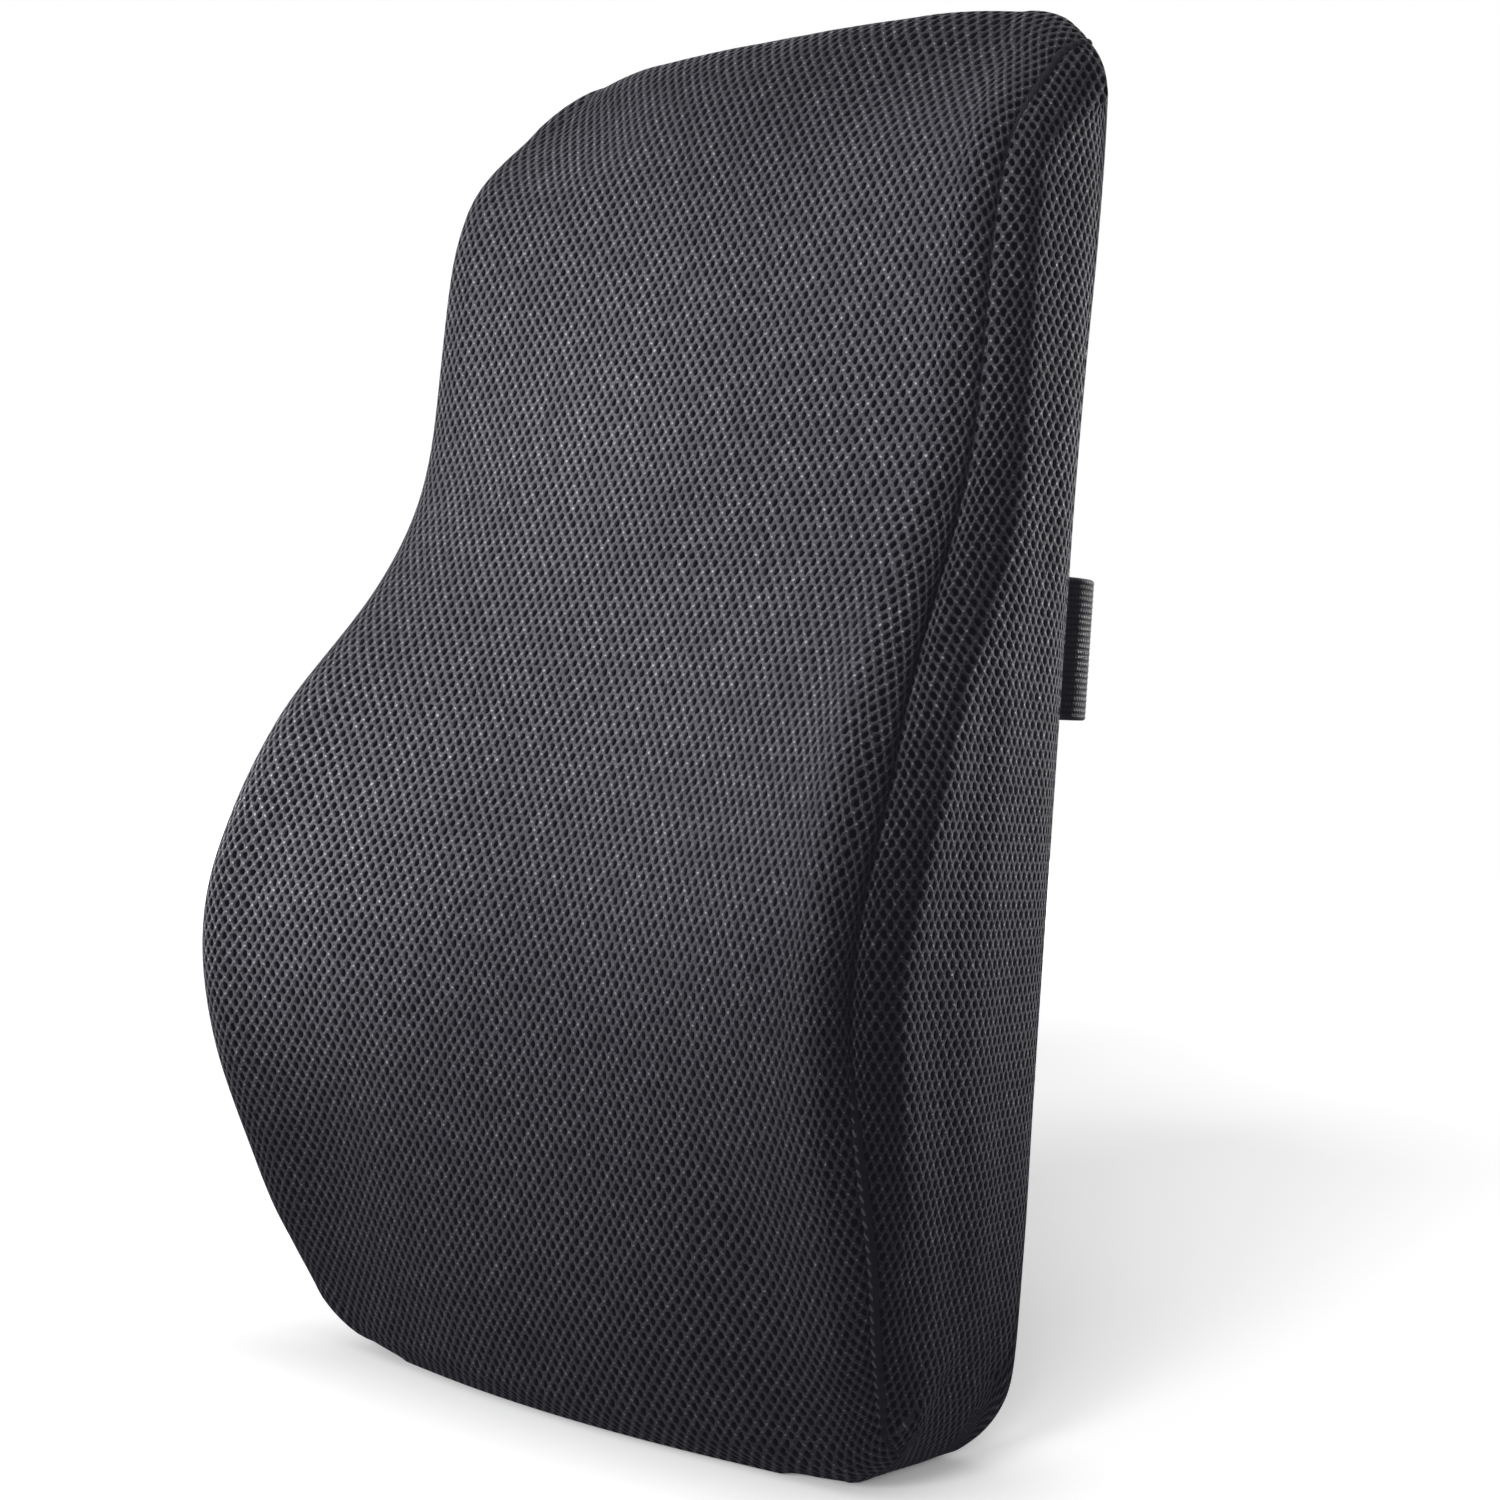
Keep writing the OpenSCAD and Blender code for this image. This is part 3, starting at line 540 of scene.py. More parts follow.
def side_grids(side):
    """The cap and the turned border of a side panel, with UVs that run on from one to the other."""
    v, t = np.linspace(0, 1, 181), np.linspace(0, 1, 49)
    loop_v, loop_t, place = rim_path(v, t)
    v, t, loop_v, loop_t = v[:, None], t[None], loop_v[:, None], loop_t[:, None]
    cap = skin(side, side * RIGHT_ANGLE, v, t)
    edge = seam_angle(loop_v, loop_t) + radians(SEAM_GAP)
    turn = RIGHT_ANGLE + (edge - RIGHT_ANGLE) * np.linspace(0, 1, 12)[None]
    border = skin(side, side * turn, loop_v, loop_t)
    run = lengths(border, 1)
    to_seam = run[:, -1:] - run

    # distance from each point of the cap to each seam, through the border beside it
    tall_steps, deep_steps = cap.shape[0] - 1, cap.shape[1] - 1
    corners = np.cumsum([0, tall_steps, deep_steps, tall_steps, deep_steps])
    front, top, back, bottom = [to_seam[i : j + 1, 0] for i, j in zip(corners, corners[1:])]
    deep, tall = lengths(cap, 1), lengths(cap, 0)
    from_front, from_back = front[:, None] + deep, back[::-1, None] + deep[:, -1:] - deep
    from_bottom, from_top = bottom[None, ::-1] + tall, top[None] + tall[-1:] - tall
    z, deep_share = cap[..., 2], np.repeat(t, len(v), 0)
    ends = valley_at(z, deep_share, side)
    dips = [
        dip(from_front, *valley_at(z, 0, side), z), dip(from_back, *valley_at(z, 1, side), z),
        dip(from_top, *ends, z), dip(from_bottom, *ends, z),
    ]
    recess = np.maximum.reduce(dips) + np.minimum(np.minimum.reduce(dips), 0)
    recess = recess - edge_puff(np.minimum(from_front, from_back), z, deep_share)
    recess = recess - corner_puff(RIGHT_ANGLE, z)
    bulge = SIDE_BULGE * np.sin(np.pi * deep_share**1.5) * np.sin(np.pi * v) ** 2
    cap_off = SWELL_START + recess - bulge - side_ripple(z, deep_share)
    cap_points = skin(side, side * RIGHT_ANGLE, v, t, cap_off) + cap_swell(side, v, t)
    cap_uv = np.stack([cap[..., 1] - crowd(from_front), cap[..., 2]], -1)

    border_recess = recess_at(to_seam, loop_v, border[..., 2], loop_t, side, turn)
    share = run / run[:, -1:]
    border_recess = border_recess + (rim_of(recess) - border_recess[:, 0])[:, None] * (1 - share)
    corner_uv = rim_of(cap_uv)
    outward_ways = np.array([(-1, 0), (0, 1), (1, 0), (0, -1)], float)
    away = np.repeat(outward_ways, np.diff(corners) + [1, 0, 0, 0], axis=0)[:, None]
    border_uv = corner_uv[:, None] + away * run[..., None]
    border_uv[: len(v)] = unrolled(border[: len(v)], corner_uv[: len(v)])
    border_uv = border_uv + away * (crowd(to_seam) - crowd(to_seam[:, :1]))[..., None]
    border_uv = corner_uv[:, None] + fanned(border_uv - corner_uv[:, None])
    dive = np.concatenate([np.zeros(turn.shape[1]), HEM_DIVE])[None]
    turn = np.concatenate([turn] + [turn[:, -1:]] * HEM_ROWS, 1)
    border_recess = np.concatenate([border_recess] + [border_recess[:, -1:]] * HEM_ROWS, 1)
    border_points = skin(side, side * turn, loop_v, loop_t, SWELL_START + border_recess + dive)
    border_points = border_points + strip_swell(side, side * turn, place[:, None])
    # the first column of the border is the rim of the cap, so the two weld
    border_points[:, 0] = rim_of(cap_points)
    border_uv = np.concatenate([border_uv] + [border_uv[:, -1:] + away * d for d in HEM_DIVE], 1)
    return [(rested(cap_points), cap_uv), (rested(border_points), border_uv)]


def side_ripple(z, t):
    """Two soft upright folds behind the front seam, where the side cloth gathers."""
    low = smooth(*RIPPLE_RISE, z) * (1 - smooth(*RIPPLE_FALL, z))
    folds = np.sin(2 * np.pi * (RIPPLE_FOLDS * t + RIPPLE_LEAN * z))
    return RIPPLE_HEIGHT * low * folds * np.sin(np.pi * t)


# ---- node materials
def arithmetic(operation, swapped=False):
    """A method that adds a math node of that operation."""
    def method(self, other):
        return self.shader.math(operation, *((other, self) if swapped else (self, other)))

    return method


class Value:
    """What flows out of a node. Arithmetic on it adds the nodes that work it out."""

    __add__ = __radd__ = arithmetic("ADD")
    __sub__, __rsub__ = arithmetic("SUBTRACT"), arithmetic("SUBTRACT", swapped=True)
    __mul__, __truediv__ = arithmetic("MULTIPLY"), arithmetic("DIVIDE")

    def __init__(self, shader, socket):
        self.shader, self.socket = shader, socket

    def wave(self):
        """From 0 to 1 and back to 0 with each unit."""
        return self.shader.math("ABSOLUTE", self.shader.math("SINE", self * math.pi))

    def floor(self):
        return self.shader.math("FLOOR", self)

    def clamped(self):
        self.socket.node.use_clamp = True
        return self

    def output(self, name):
        """Another output of the same node."""
        return Value(self.shader, self.socket.node.outputs[name])

    def given(self, **inputs):
        """Sets or links inputs of the same node by name, with _ for a space."""
        for key, value in inputs.items():
            self.shader.link(value, self.socket.node.inputs[key.replace("_", " ")])
        return self


class Shader:
    """The node tree of a material or a world, with short calls for the nodes used most."""

    def __init__(self, name, kind=bpy.data.materials):
        self.owner = kind.new(name)
        self.owner.use_nodes = True
        self.tree = self.owner.node_tree
        self.tree.nodes.clear()

    def add(self, kind, *inputs, out=0, **settings):
        """A new node's output. Inputs are linked or set in order, and None leaves one as it is."""
        node = self.tree.nodes.new("ShaderNode" + kind)
        for key, value in settings.items():
            setattr(node, key, value)
        for value, socket in zip(inputs, node.inputs):
            if value is not None:
                self.link(value, socket)
        return Value(self, node.outputs[out]) if node.outputs else node

    def link(self, source, target):
        if isinstance(source, Value):
            self.tree.links.new(source.socket, target)
        else:
            target.default_value = source

    def math(self, operation, *inputs):
        return self.add("Math", *inputs, operation=operation)

    def vector(self, operation, *inputs):
        out = "Value" if operation in ("DOT_PRODUCT", "LENGTH") else "Vector"
        return self.add("VectorMath", *inputs, out=out, operation=operation)

    def ramp(self, value, low, high, to_low=0.0, to_high=1.0):
        return self.add("MapRange", value, low, high, to_low, to_high, interpolation_type="SMOOTHSTEP")

    def mix(self, share, first, second):
        unused = [None] * 5
        return self.add("Mix", share, *unused, first, second, out=2, data_type="RGBA")

    def noise(self, vector, scale, detail=2.0, roughness=0.5):
        return self.add("TexNoise", vector, None, scale, detail, roughness, out="Fac")

    def chance(self, *cell):
        """A random number for each cell, from its coordinates."""
        return self.add("TexWhiteNoise", self.add("CombineXYZ", *cell), out="Value", noise_dimensions="3D")

    def uv(self):
        """U and V in millimetres along the cloth, and both as one vector."""
        split = self.add("SeparateXYZ", self.add("UVMap", uv_map="cloth"))
        u, v = split, split.output("Y")
        return u, v, self.add("CombineXYZ", u, v)

    def place(self):
        """Position on the object in millimetres."""
        return self.vector("MULTIPLY", self.add("TexCoord", out="Object"), (1 / MM,) * 3)

    def pointed(self, low, high):
        """1 on sharp edges and 0 elsewhere."""
        return self.ramp(self.add("NewGeometry", out="Pointiness"), low, high)

    def bump(self, height, distance_mm, strength):
        return self.add("Bump").given(Distance=distance_mm * MM, Strength=strength, Height=height)

    def finish(self, **inputs):
        """Ends the tree in a principled surface with these inputs."""
        surface = self.add("BsdfPrincipled").given(**inputs)
        self.add("OutputMaterial", surface)
        return self.owner

    def plain(self, tone, dark, pale, roughness, bump, **inputs):
        """Ends the tree in a surface from dark to pale by tone, with a bump (height, distance, strength)."""
        base = self.mix(tone.clamped(), colour(*dark), colour(*pale))
        return self.finish(Base_Color=base, Roughness=roughness, Normal=self.bump(*bump), **inputs)


def colour(red, green, blue, light=1.0):
    return (red * light, green * light, blue * light, 1.0)


def hole_distance(n, u, v, pitch, half):
    """Distance from the nearest hole's centre, 1 at its rim, for holes in staggered rows."""
    squared = []
    for shift in (0.0, 0.5):
        du = (n.math("FRACT", u / pitch[0] + shift) - 0.5) * (pitch[0] / half[0])
        dv = (n.math("FRACT", v / (2 * pitch[1]) + shift) - 0.5) * (2 * pitch[1] / half[1])
        squared.append(du * du + dv * dv)
    return n.math("SQRT", n.math("MINIMUM", *squared))


def see_through(n, depth):
    """How far, in millimetres of U and V, the line of sight moves on its way down to that depth."""
    view = n.add("NewGeometry", out="Incoming")
    normal = view.output("Normal")
    tangent = n.add("Tangent", direction_type="UV_MAP", uv_map="cloth")
    other = n.vector("CROSS_PRODUCT", normal, tangent)
    facing = n.math("MAXIMUM", n.vector("DOT_PRODUCT", view, normal), 0.22)
    slide = n.math("DIVIDE", depth, facing)
    return [n.vector("DOT_PRODUCT", view, way) * slide for way in (tangent, other)]


def spacer_mesh(name, pitch=(4.4, 2.8), half=(1.05, 1.35), light=1.0):
    """Knitted spacer mesh: staggered oval holes over a darker ground layer, ribs of shiny yarn between, with
    painted shade in the holes and painted glints on the knots.
    """
    n = Shader(name)
    u, v, flat = n.uv()
    # the knit wanders a little, at the scale of a hand and at the scale of a stitch
    drift = (n.noise(flat, 0.022, 1.0) - 0.5) * 3.4
    wobble_u = (n.noise(flat, 0.5, 3.0, 0.7) - 0.5) * 1.7
    wobble_v = (n.noise(n.vector("ADD", flat, (31.7, 12.3, 4.0)), 0.5, 3.0, 0.7) - 0.5) * 1.7
    u, v = u + drift + wobble_u, v + wobble_v
    top = hole_distance(n, u, v, pitch, half)
    slide_u, slide_v = see_through(n, 0.75)
    under = hole_distance(n, u - slide_u, v - slide_v, pitch, (half[0] * 1.05, half[1] * 1.05))
    opening = n.ramp(top, 0.84, 1.12, 1.0, 0.0)
    shaft = opening * n.ramp(under, 0.8, 1.15, 1.0, 0.0)
    # yarn: slanting filaments that change direction at each wale, and a knot where four holes meet
    wale = u / (pitch[0] / 2)
    twist = v / 0.95 + n.math("PINGPONG", wale, 1.0) * 1.9
    filament = n.math("SINE", twist * 6.283) * 0.5 + 0.5
    knot = hole_distance(n, u + pitch[0] / 2, v, pitch, (0.52, 0.40))
    knot_top = n.ramp(knot, 0.45, 1.25, 1.0, 0.0)
    chance = n.chance(wale.floor(), (v / pitch[1]).floor())
    height = n.ramp(top, 0.9, 1.75) * 0.75 + filament * 0.16 + knot_top * 0.35 - shaft * 0.4
    # colour
    patch = n.noise(flat, 0.012, 3.0, 0.6)
    speckle = n.ramp(n.noise(flat, 2.1, 3.0, 0.75), 0.38, 0.64)
    tone = (patch * 0.25 + speckle * 0.48 + filament * 0.2 + (chance - 0.5) * 0.3).clamped()
    yarn = n.mix(tone, colour(0.035, 0.033, 0.041, light), colour(0.207, 0.198, 0.228, light))
    # painted highlight: the knots are painted near-white as glints, and the same mask makes them less rough
    painted_glint = knot_top * n.ramp(chance, 0.2, 1.0, 0.1, 1.0)
    yarn = n.mix(painted_glint, yarn, colour(0.84, 0.83, 0.87, light))
    # painted shade: the hole walls are painted darker than the yarn, and the bottom seen down each hole is
    # near black, partly the ground layer's own darker colour and partly painted shade in the hole
    yarn_and_painted_wall_shade = n.mix(opening, yarn, colour(0.021, 0.020, 0.024))
    closed = 1.0 - opening
    return n.finish(
        Base_Color=n.mix(shaft, yarn_and_painted_wall_shade, colour(0.0035, 0.0034, 0.0042)),
        Roughness=(0.74 - painted_glint * 0.4 + opening * 0.2).clamped(),
        Normal=n.bump(height, 0.9, 0.9),
        Specular_IOR_Level=closed * 0.45,
        Sheen_Weight=closed * 0.2,
        Sheen_Roughness=0.45,
        Sheen_Tint=colour(0.80, 0.80, 0.88),
    )


def webbing_material(name, rib):
    """Narrow webbing: lengthwise ribs of crossing yarns, with a worn sheen on the ridges."""
    n = Shader(name)
    u, v, flat = n.uv()
    rib_at = u / rib
    number, ridge = rib_at.floor(), rib_at.wave()
    lean = n.math("MODULO", n.math("ABSOLUTE", number), 2.0) * 2.0 - 1.0
    along = v / 1.15 + lean * rib_at * 0.6
    chance = n.chance(number, along.floor())
    fuzz, wear = n.noise(flat, 2.2, 3.0, 0.6), n.noise(flat, 0.05, 3.0, 0.6)
    height = ridge * 0.6 + along.wave() * ridge * 0.5
    tone = height * 0.55 + fuzz * 0.25 + (chance - 0.5) * 0.25 + (wear - 0.5) * 0.5
    return n.plain(
        tone, (0.012, 0.012, 0.014), (0.105, 0.104, 0.112), 0.78 - height * 0.2, (height, 0.5, 0.9),
        Sheen_Weight=0.15, Sheen_Roughness=0.4,
    )


def tape_material(name):
    """Zip tape: close herringbone weave."""
    n = Shader(name)
    u, v, flat = n.uv()
    pick = (u / 0.8 + n.math("PINGPONG", v / 1.6, 1.0) * 1.4).wave()
    fuzz, wear = n.noise(flat, 1.9, 3.0, 0.6), n.noise(flat, 0.06, 2.0)
    tone = pick * 0.5 + fuzz * 0.3 + (wear - 0.5) * 0.4
    dark, pale = (0.010, 0.010, 0.012), (0.062, 0.061, 0.067)
    return n.plain(tone, dark, pale, 0.8, (pick, 0.25, 0.8), Sheen_Weight=0.12)


def thread_material(name, light):
    """Twisted sewing thread."""
    n = Shader(name)
    u, v, _ = n.uv()
    twist = (v / 0.55 + u * 1.6).wave()
    tone = twist * 0.55 + n.noise(n.place(), 0.35, 2.0) * 0.55
    dark, pale = (0.045, 0.044, 0.050, light), (0.235, 0.230, 0.245, light)
    return n.plain(tone, dark, pale, 0.5, (twist, 0.15, 0.8), Sheen_Weight=0.2)


def moulded_plastic(name):
    """Injection-moulded plastic: spark-eroded grain, flow marks and rubbed edges."""
    n = Shader(name)
    at = n.place()
    grain, flow = n.noise(at, 3.2, 3.0, 0.6), n.noise(at, 0.06, 3.0, 0.55)
    scratch_at = n.vector("MULTIPLY", at, (0.25, 4.0, 4.0))
    scratch = n.ramp(n.noise(scratch_at, 0.9, 2.0, 0.7), 0.66, 0.74)
    rubbed = n.pointed(0.53, 0.62) * n.ramp(n.noise(at, 0.35, 3.0), 0.35, 0.65)
    tone = flow * 0.2 + grain * 0.25 + rubbed * 0.35
    rough = 0.42 + grain * 0.2 + scratch * 0.15 - rubbed * 0.12
    dark, pale = (0.007, 0.007, 0.008), (0.038, 0.038, 0.041)
    bump = grain + scratch * -0.4, 0.05, 0.8
    return n.plain(tone, dark, pale, rough, bump, Specular_IOR_Level=0.4)


def die_cast(name):
    """Small die-cast zip parts: tumbled metal, darker in the hollows and bright on worn edges."""
    n = Shader(name)
    at = n.place()
    pits, cloud = n.noise(at, 2.4, 3.0, 0.65), n.noise(at, 0.25, 3.0)
    tone = cloud * 0.5 + n.pointed(0.52, 0.6) * 0.7
    dark, pale = (0.05, 0.05, 0.055), (0.45, 0.45, 0.47)
    return n.plain(tone, dark, pale, 0.2 + pits * 0.3, (pits, 0.05, 0.7), Metallic=0.9)


def foam_material(name):
    """Memory foam: fine open cells with a soft yellowing."""
    n = Shader(name)
    at = n.place()
    cells = n.add("TexVoronoi", out="Distance").given(Vector=at, Scale=0.9)
    pore = n.ramp(cells, 0.0, 0.6)
    tone = pore * 0.5 + n.noise(at, 0.02, 3.0) * 0.5
    dark, pale = (0.55, 0.47, 0.33), (0.86, 0.80, 0.66)
    return n.plain(tone, dark, pale, 0.9, (pore, 0.5, 0.7), Sheen_Weight=0.2)


def liner_material(name):
    """Thin tricot liner: fine wales with small runs of colour variation."""
    n = Shader(name)
    u, v, flat = n.uv()
    knit = (u / 1.2).wave() * ((v / 0.9).wave() * 0.6 + 0.4)
    tone = knit * 0.5 + n.noise(flat, 0.03, 3.0) * 0.5
    dark, pale = (0.48, 0.48, 0.46), (0.80, 0.80, 0.78)
    return n.plain(tone, dark, pale, 0.85, (knit, 0.3, 0.8), Sheen_Weight=0.2)


MESH_FRONT = spacer_mesh("spacer_mesh_front")
MESH_SIDE = spacer_mesh("spacer_mesh_side", pitch=(4.2, 2.8), half=(1.1, 1.35))
MESH_BACK = spacer_mesh("spacer_mesh_back", half=(0.95, 1.2), light=0.85)
WEBBING = webbing_material("ribbed_webbing", STRAP_W / RIBS)
TAPE = tape_material("zip_tape_weave")
THREAD = thread_material("sewing_thread", 2.2)
PLASTIC = moulded_plastic("moulded_plastic")
COIL = moulded_plastic("zip_teeth_plastic")
METAL = die_cast("zip_die_cast")
FOAM = foam_material("memory_foam")
LINER = liner_material("tricot_liner")


# ---- the cover
def loop_path(*corners):
    """Path arrays (v, t, place) round the loop through corners (v, t, steps from the one before)."""
    v, t = np.array([corners[0][0]], float), np.array([corners[0][1]], float)
    for to_v, to_t, steps in corners[1:]:
        v = np.append(v, np.linspace(v[-1], to_v, steps + 1)[1:])
        t = np.append(t, np.linspace(t[-1], to_t, steps + 1)[1:])
    place = np.where(t <= 0, v, np.where(t >= 1, 3 - v, np.where(v > 0.5, 1 + t, 4 - t)))
    return v, t, place


GAP_LOW, GAP_HIGH = step_of(ZIP_Z - ZIP_GAP / 2), step_of(ZIP_Z + ZIP_GAP / 2)
WIDE_PANELS = [
    ("front_cover", MESH_FRONT, "mesh_front", "front_panel", 130,
     loop_path((0, 0.985, 0), (0, 0, 30), (1, 0, 230), (1, 0.96, 12))),
    ("back_cover_upper", MESH_BACK, "mesh_back", "back_panel_upper", 110,
     loop_path((GAP_HIGH, 1, 0), (1, 1, 150))),
    ("back_cover_lower", MESH_BACK, "mesh_back", "back_panel_lower", 110,
     loop_path((0, 1, 0), (GAP_LOW, 1, 40))),
]


def build_cover():
    for name, material, slot, node, steps, path in WIDE_PANELS:
        panel = make_from_grids(name, [wide_panel(*path, steps)])
        finish_piece(panel, material, node)
    for side, word in SIDES:
        panel = make_from_grids(f"side_cover_{word}", side_grids(side))
        finish_piece(panel, MESH_SIDE, f"side_panel_{word}")


def inner_body(name, inset, material, node):
    """The liner or the foam: the cover's own shape further in, closed all round."""
    off = inset + SWELL_START
    s, a = across(90, 8, 40)
    v, t, _ = loop_path((0, 0, 0), (1, 0, 70), (1, 1, 8), (0, 1, 60), (0, 0, 14))
    v, t = v[:, None], t[:, None]
    plain = skin(s[None], a[None], v, t)
    seam_points = skin(np.sign(s)[None], np.sign(s)[None] * radians(SEAM_ANGLE), v, t)
    to_seam = np.linalg.norm(plain - seam_points, axis=-1)
    recess = np.maximum(dip(to_seam, *valley_at(plain[..., 2], t, s[None])), 0)
    strip = skin(s[None], a[None], v, t, off + recess)
    caps = []
    for side, column in ((-1, 0), (1, -1)):
        cap_v, cap_t = np.linspace(0, 1, 71)[:, None], np.linspace(0, 1, 9)[None]
        cap = skin(side, side * RIGHT_ANGLE, cap_v, cap_t, off + 1.0)
        cap[:, 0], cap[-1, :] = strip[:71, column], strip[70:79, column]
        caps.append((cap, cap[..., 1:]))
    uv = np.stack([lengths(plain, 1), lengths(plain, 0)], -1)
    body = make_from_grids(name, [(strip, uv)] + caps)
    finish_piece(body, material, node)


# ---- straps
# in the paths below, Y starts at the back of the cushion
BAR_INSET, BAR_R, BAR_GAP = 4, 2.4, 0.25
POST_R, POST_GAP, POST_HALF_Y, WEB_GAP = 1.4, 0.2, 1.3, 0.15
SOCKET_BAR_X = box_mm("buckle_socket")[1][0] - BAR_INSET
PLUG_BAR_X = box_mm("buckle_plug")[0][0] + BAR_INSET
STAND_OFF = np.mean(box_mm("buckle_socket"), 0)[1] - BACK_Y
BAR_TURN_R = BAR_R + BAR_GAP + STRAP_T / 2
ADJUSTER_X, ADJUSTER_Y = np.mean(box_mm("strap_adjuster"), 0)[:2] - (0, BACK_Y)
OVER_R = POST_R + POST_GAP + 1.5 * STRAP_T + WEB_GAP
PASS_Y = ADJUSTER_Y - POST_HALF_Y - WEB_GAP - STRAP_T / 2
UNDER_Y = PASS_Y - STRAP_T - WEB_GAP
BEND_X, SEWN_L = 101.5, 23.5
SEWN_Y = STRAP_T / 2 + 0.2


def arc(cx, cy, radius, start, end, steps):
    angles = np.radians(np.linspace(start, end, steps + 1))
    return [(cx + radius * math.cos(q), cy + radius * math.sin(q)) for q in angles]


def even_path(points, step):
    """The path drawn again in even steps, with its corners eased."""
    points = np.array(points, float)
    for _ in range(2):
        middle = (points[:-1] + points[1:]) / 2
        eased = np.empty((2 * len(points) - 1, 2))
        eased[0::2], eased[1::2] = points, middle
        eased[1:-1] = (eased[:-2] + 2 * eased[1:-1] + eased[2:]) / 4
        points = eased
    run = lengths(points, 0)
    at = np.linspace(0, run[-1], max(int(run[-1] / step), 4))
    return np.stack([np.interp(at, run, points[:, k]) for k in (0, 1)], 1)


def ribbon(name, path, step=1.1):
    """Webbing along a path in the X-Y plane, with its ribs and rounded edges in the mesh."""
    path = even_path(path, step)
    tangent = unit(np.gradient(path, axis=0))
    normal = np.stack([-tangent[:, 1], tangent[:, 0]], 1)[:, None]
    share = np.linspace(-1, 1, 5 * RIBS + 1)
    rib = np.abs(np.sin(np.pi * RIBS * (share + 1) / 2)) ** 0.7
    edge = np.sqrt(np.clip(1 - np.clip((np.abs(share) - 0.965) / 0.035, 0, 1) ** 2, 0.02, 1))
    run = lengths(path, 0)[:, None]
    thick = STRAP_T / 2 * (0.78 + 0.22 * rib) * edge * (1 + 0.035 * np.sin(run / 9.0) * share**2)
    faces = []
    for sign in (1, -1):
        flat = path[:, None] + normal * (sign * thick)[..., None] + (0, BACK_Y)
        height = np.broadcast_to(STRAP_Z + share * STRAP_W / 2, thick.shape)
        faces.append(np.concatenate([flat, height[..., None]], -1))
    grid = np.concatenate([faces[0], faces[1][:, ::-1]], 1)
    around = np.concatenate([share, share[::-1]]) * STRAP_W / 2 + STRAP_W / 2
    uv = np.stack(np.broadcast_arrays(around[None], run), -1)
    rows, ring = grid.shape[:2]
    q = np.arange(len(share) - 1)
    start = np.stack([q, ring - 1 - q, ring - 2 - q, q + 1], 1)
    end = start[:, ::-1] + (rows - 1) * ring
    quads = np.concatenate([grid_faces(rows, ring, closed=True), start, end])
    return make_mesh(name, grid.reshape(-1, 3), quads, uv.reshape(-1, 2))


def right_path():
    """From the sewn end round the bend and over the socket's bar, to the free end folded back."""
    bend_r = (STAND_OFF - BAR_TURN_R - 0.2 - STRAP_T / 2) / 2
    top = SEWN_Y + 2 * bend_r
    return (
        [(BEND_X - SEWN_L, SEWN_Y), (BEND_X - SEWN_L / 2, SEWN_Y)]
        + arc(BEND_X, SEWN_Y + bend_r, bend_r, -85, 90, 24)
        + [(BEND_X - 20, top), (SOCKET_BAR_X + 25, top), (SOCKET_BAR_X + 8, top)]
        + arc(SOCKET_BAR_X, STAND_OFF, BAR_TURN_R, -90, -270, 16)
        + [(SOCKET_BAR_X + 6.8 * i, STAND_OFF + BAR_TURN_R - 0.9 * i) for i in range(1, 6)]
    )


def left_run_path():
    """From the free end under the adjuster round the plug's bar, back out to the bend and the sewn end."""
    bend_r = (PASS_Y - 0.2 - STRAP_T / 2) / 2
    merge_x = PLUG_BAR_X - 9.5
    return (
        [(ADJUSTER_X + 5, UNDER_Y), (merge_x, UNDER_Y)]
        + arc(PLUG_BAR_X, STAND_OFF, BAR_TURN_R, -100, 100, 16)
        + [(merge_x, PASS_Y), (merge_x - 6, PASS_Y), (ADJUSTER_X, PASS_Y), (-BEND_X + 8, PASS_Y)]
        + arc(-BEND_X, SEWN_Y + bend_r, bend_r, 90, 265, 24)
        + [(-BEND_X + SEWN_L / 2, SEWN_Y), (-BEND_X + SEWN_L, SEWN_Y)]
    )


def wrap_path():
    """The hump of webbing over the adjuster's centre post."""
    over_y = PASS_Y + 0.4
    return (
        [(ADJUSTER_X + 9, over_y - 0.3), (ADJUSTER_X + 6.4, over_y)]
        + arc(ADJUSTER_X + OVER_R + 1.2, over_y + 1.2, 1.2, 265, 185, 4)
        + arc(ADJUSTER_X, ADJUSTER_Y, OVER_R - 0.3, 8, 172, 16)
        + arc(ADJUSTER_X - OVER_R - 1.2, over_y + 1.2, 1.2, -5, -85, 4)
        + [(ADJUSTER_X - 6.4, over_y), (ADJUSTER_X - 9, over_y - 0.3)]
    )


def build_straps():
    finish_piece(ribbon("strap_right_webbing", right_path()), WEBBING, "strap_right")
    left = ribbon("strap_left_webbing", left_run_path())
    finish_piece(left, WEBBING, "strap_left", body=None)
    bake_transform(left)
    finish_piece(ribbon("strap_left_hump", wrap_path(), step=0.8), WEBBING, body="adjuster")


# ---- stitches
STITCH_PITCH = 3.8
SEAM_STITCH = {"pitch": STITCH_PITCH, "length": 3.0, "radius": 0.5, "lean": 0.35}
BOX_STITCH = {"pitch": 2.6, "length": 2.1, "radius": 0.3}
ZIP_STITCH = {"pitch": 3.0, "length": 2.3, "radius": 0.3}
# the seam's cord lies sunk in its groove, less so at the foot and the top
CORD_SUNK, CORD_FOOT, CORD_TOP, STITCH_FOOT, STITCH_ASIDE = 0.9, 2.2, 0.5, 2.3, 0.7
CORD_FOOT_RISE, CORD_FOOT_FALL, CORD_TOP_RISE = (0, 40), (100, 135), (HEIGHT - 55, HEIGHT - 15)
# place along the stitch and share of its radius for each ring, and the faces that close its ends
STITCH_RINGS = [(-0.5, 0.25), (-0.42, 0.8), (-0.2, 1.0), (0.2, 1.0), (0.42, 0.8), (0.5, 0.25)]
STITCH_ENDS = [(5, 4, 3, 2), (5, 2, 1, 0), (30, 31, 32, 33), (30, 33, 34, 35)]


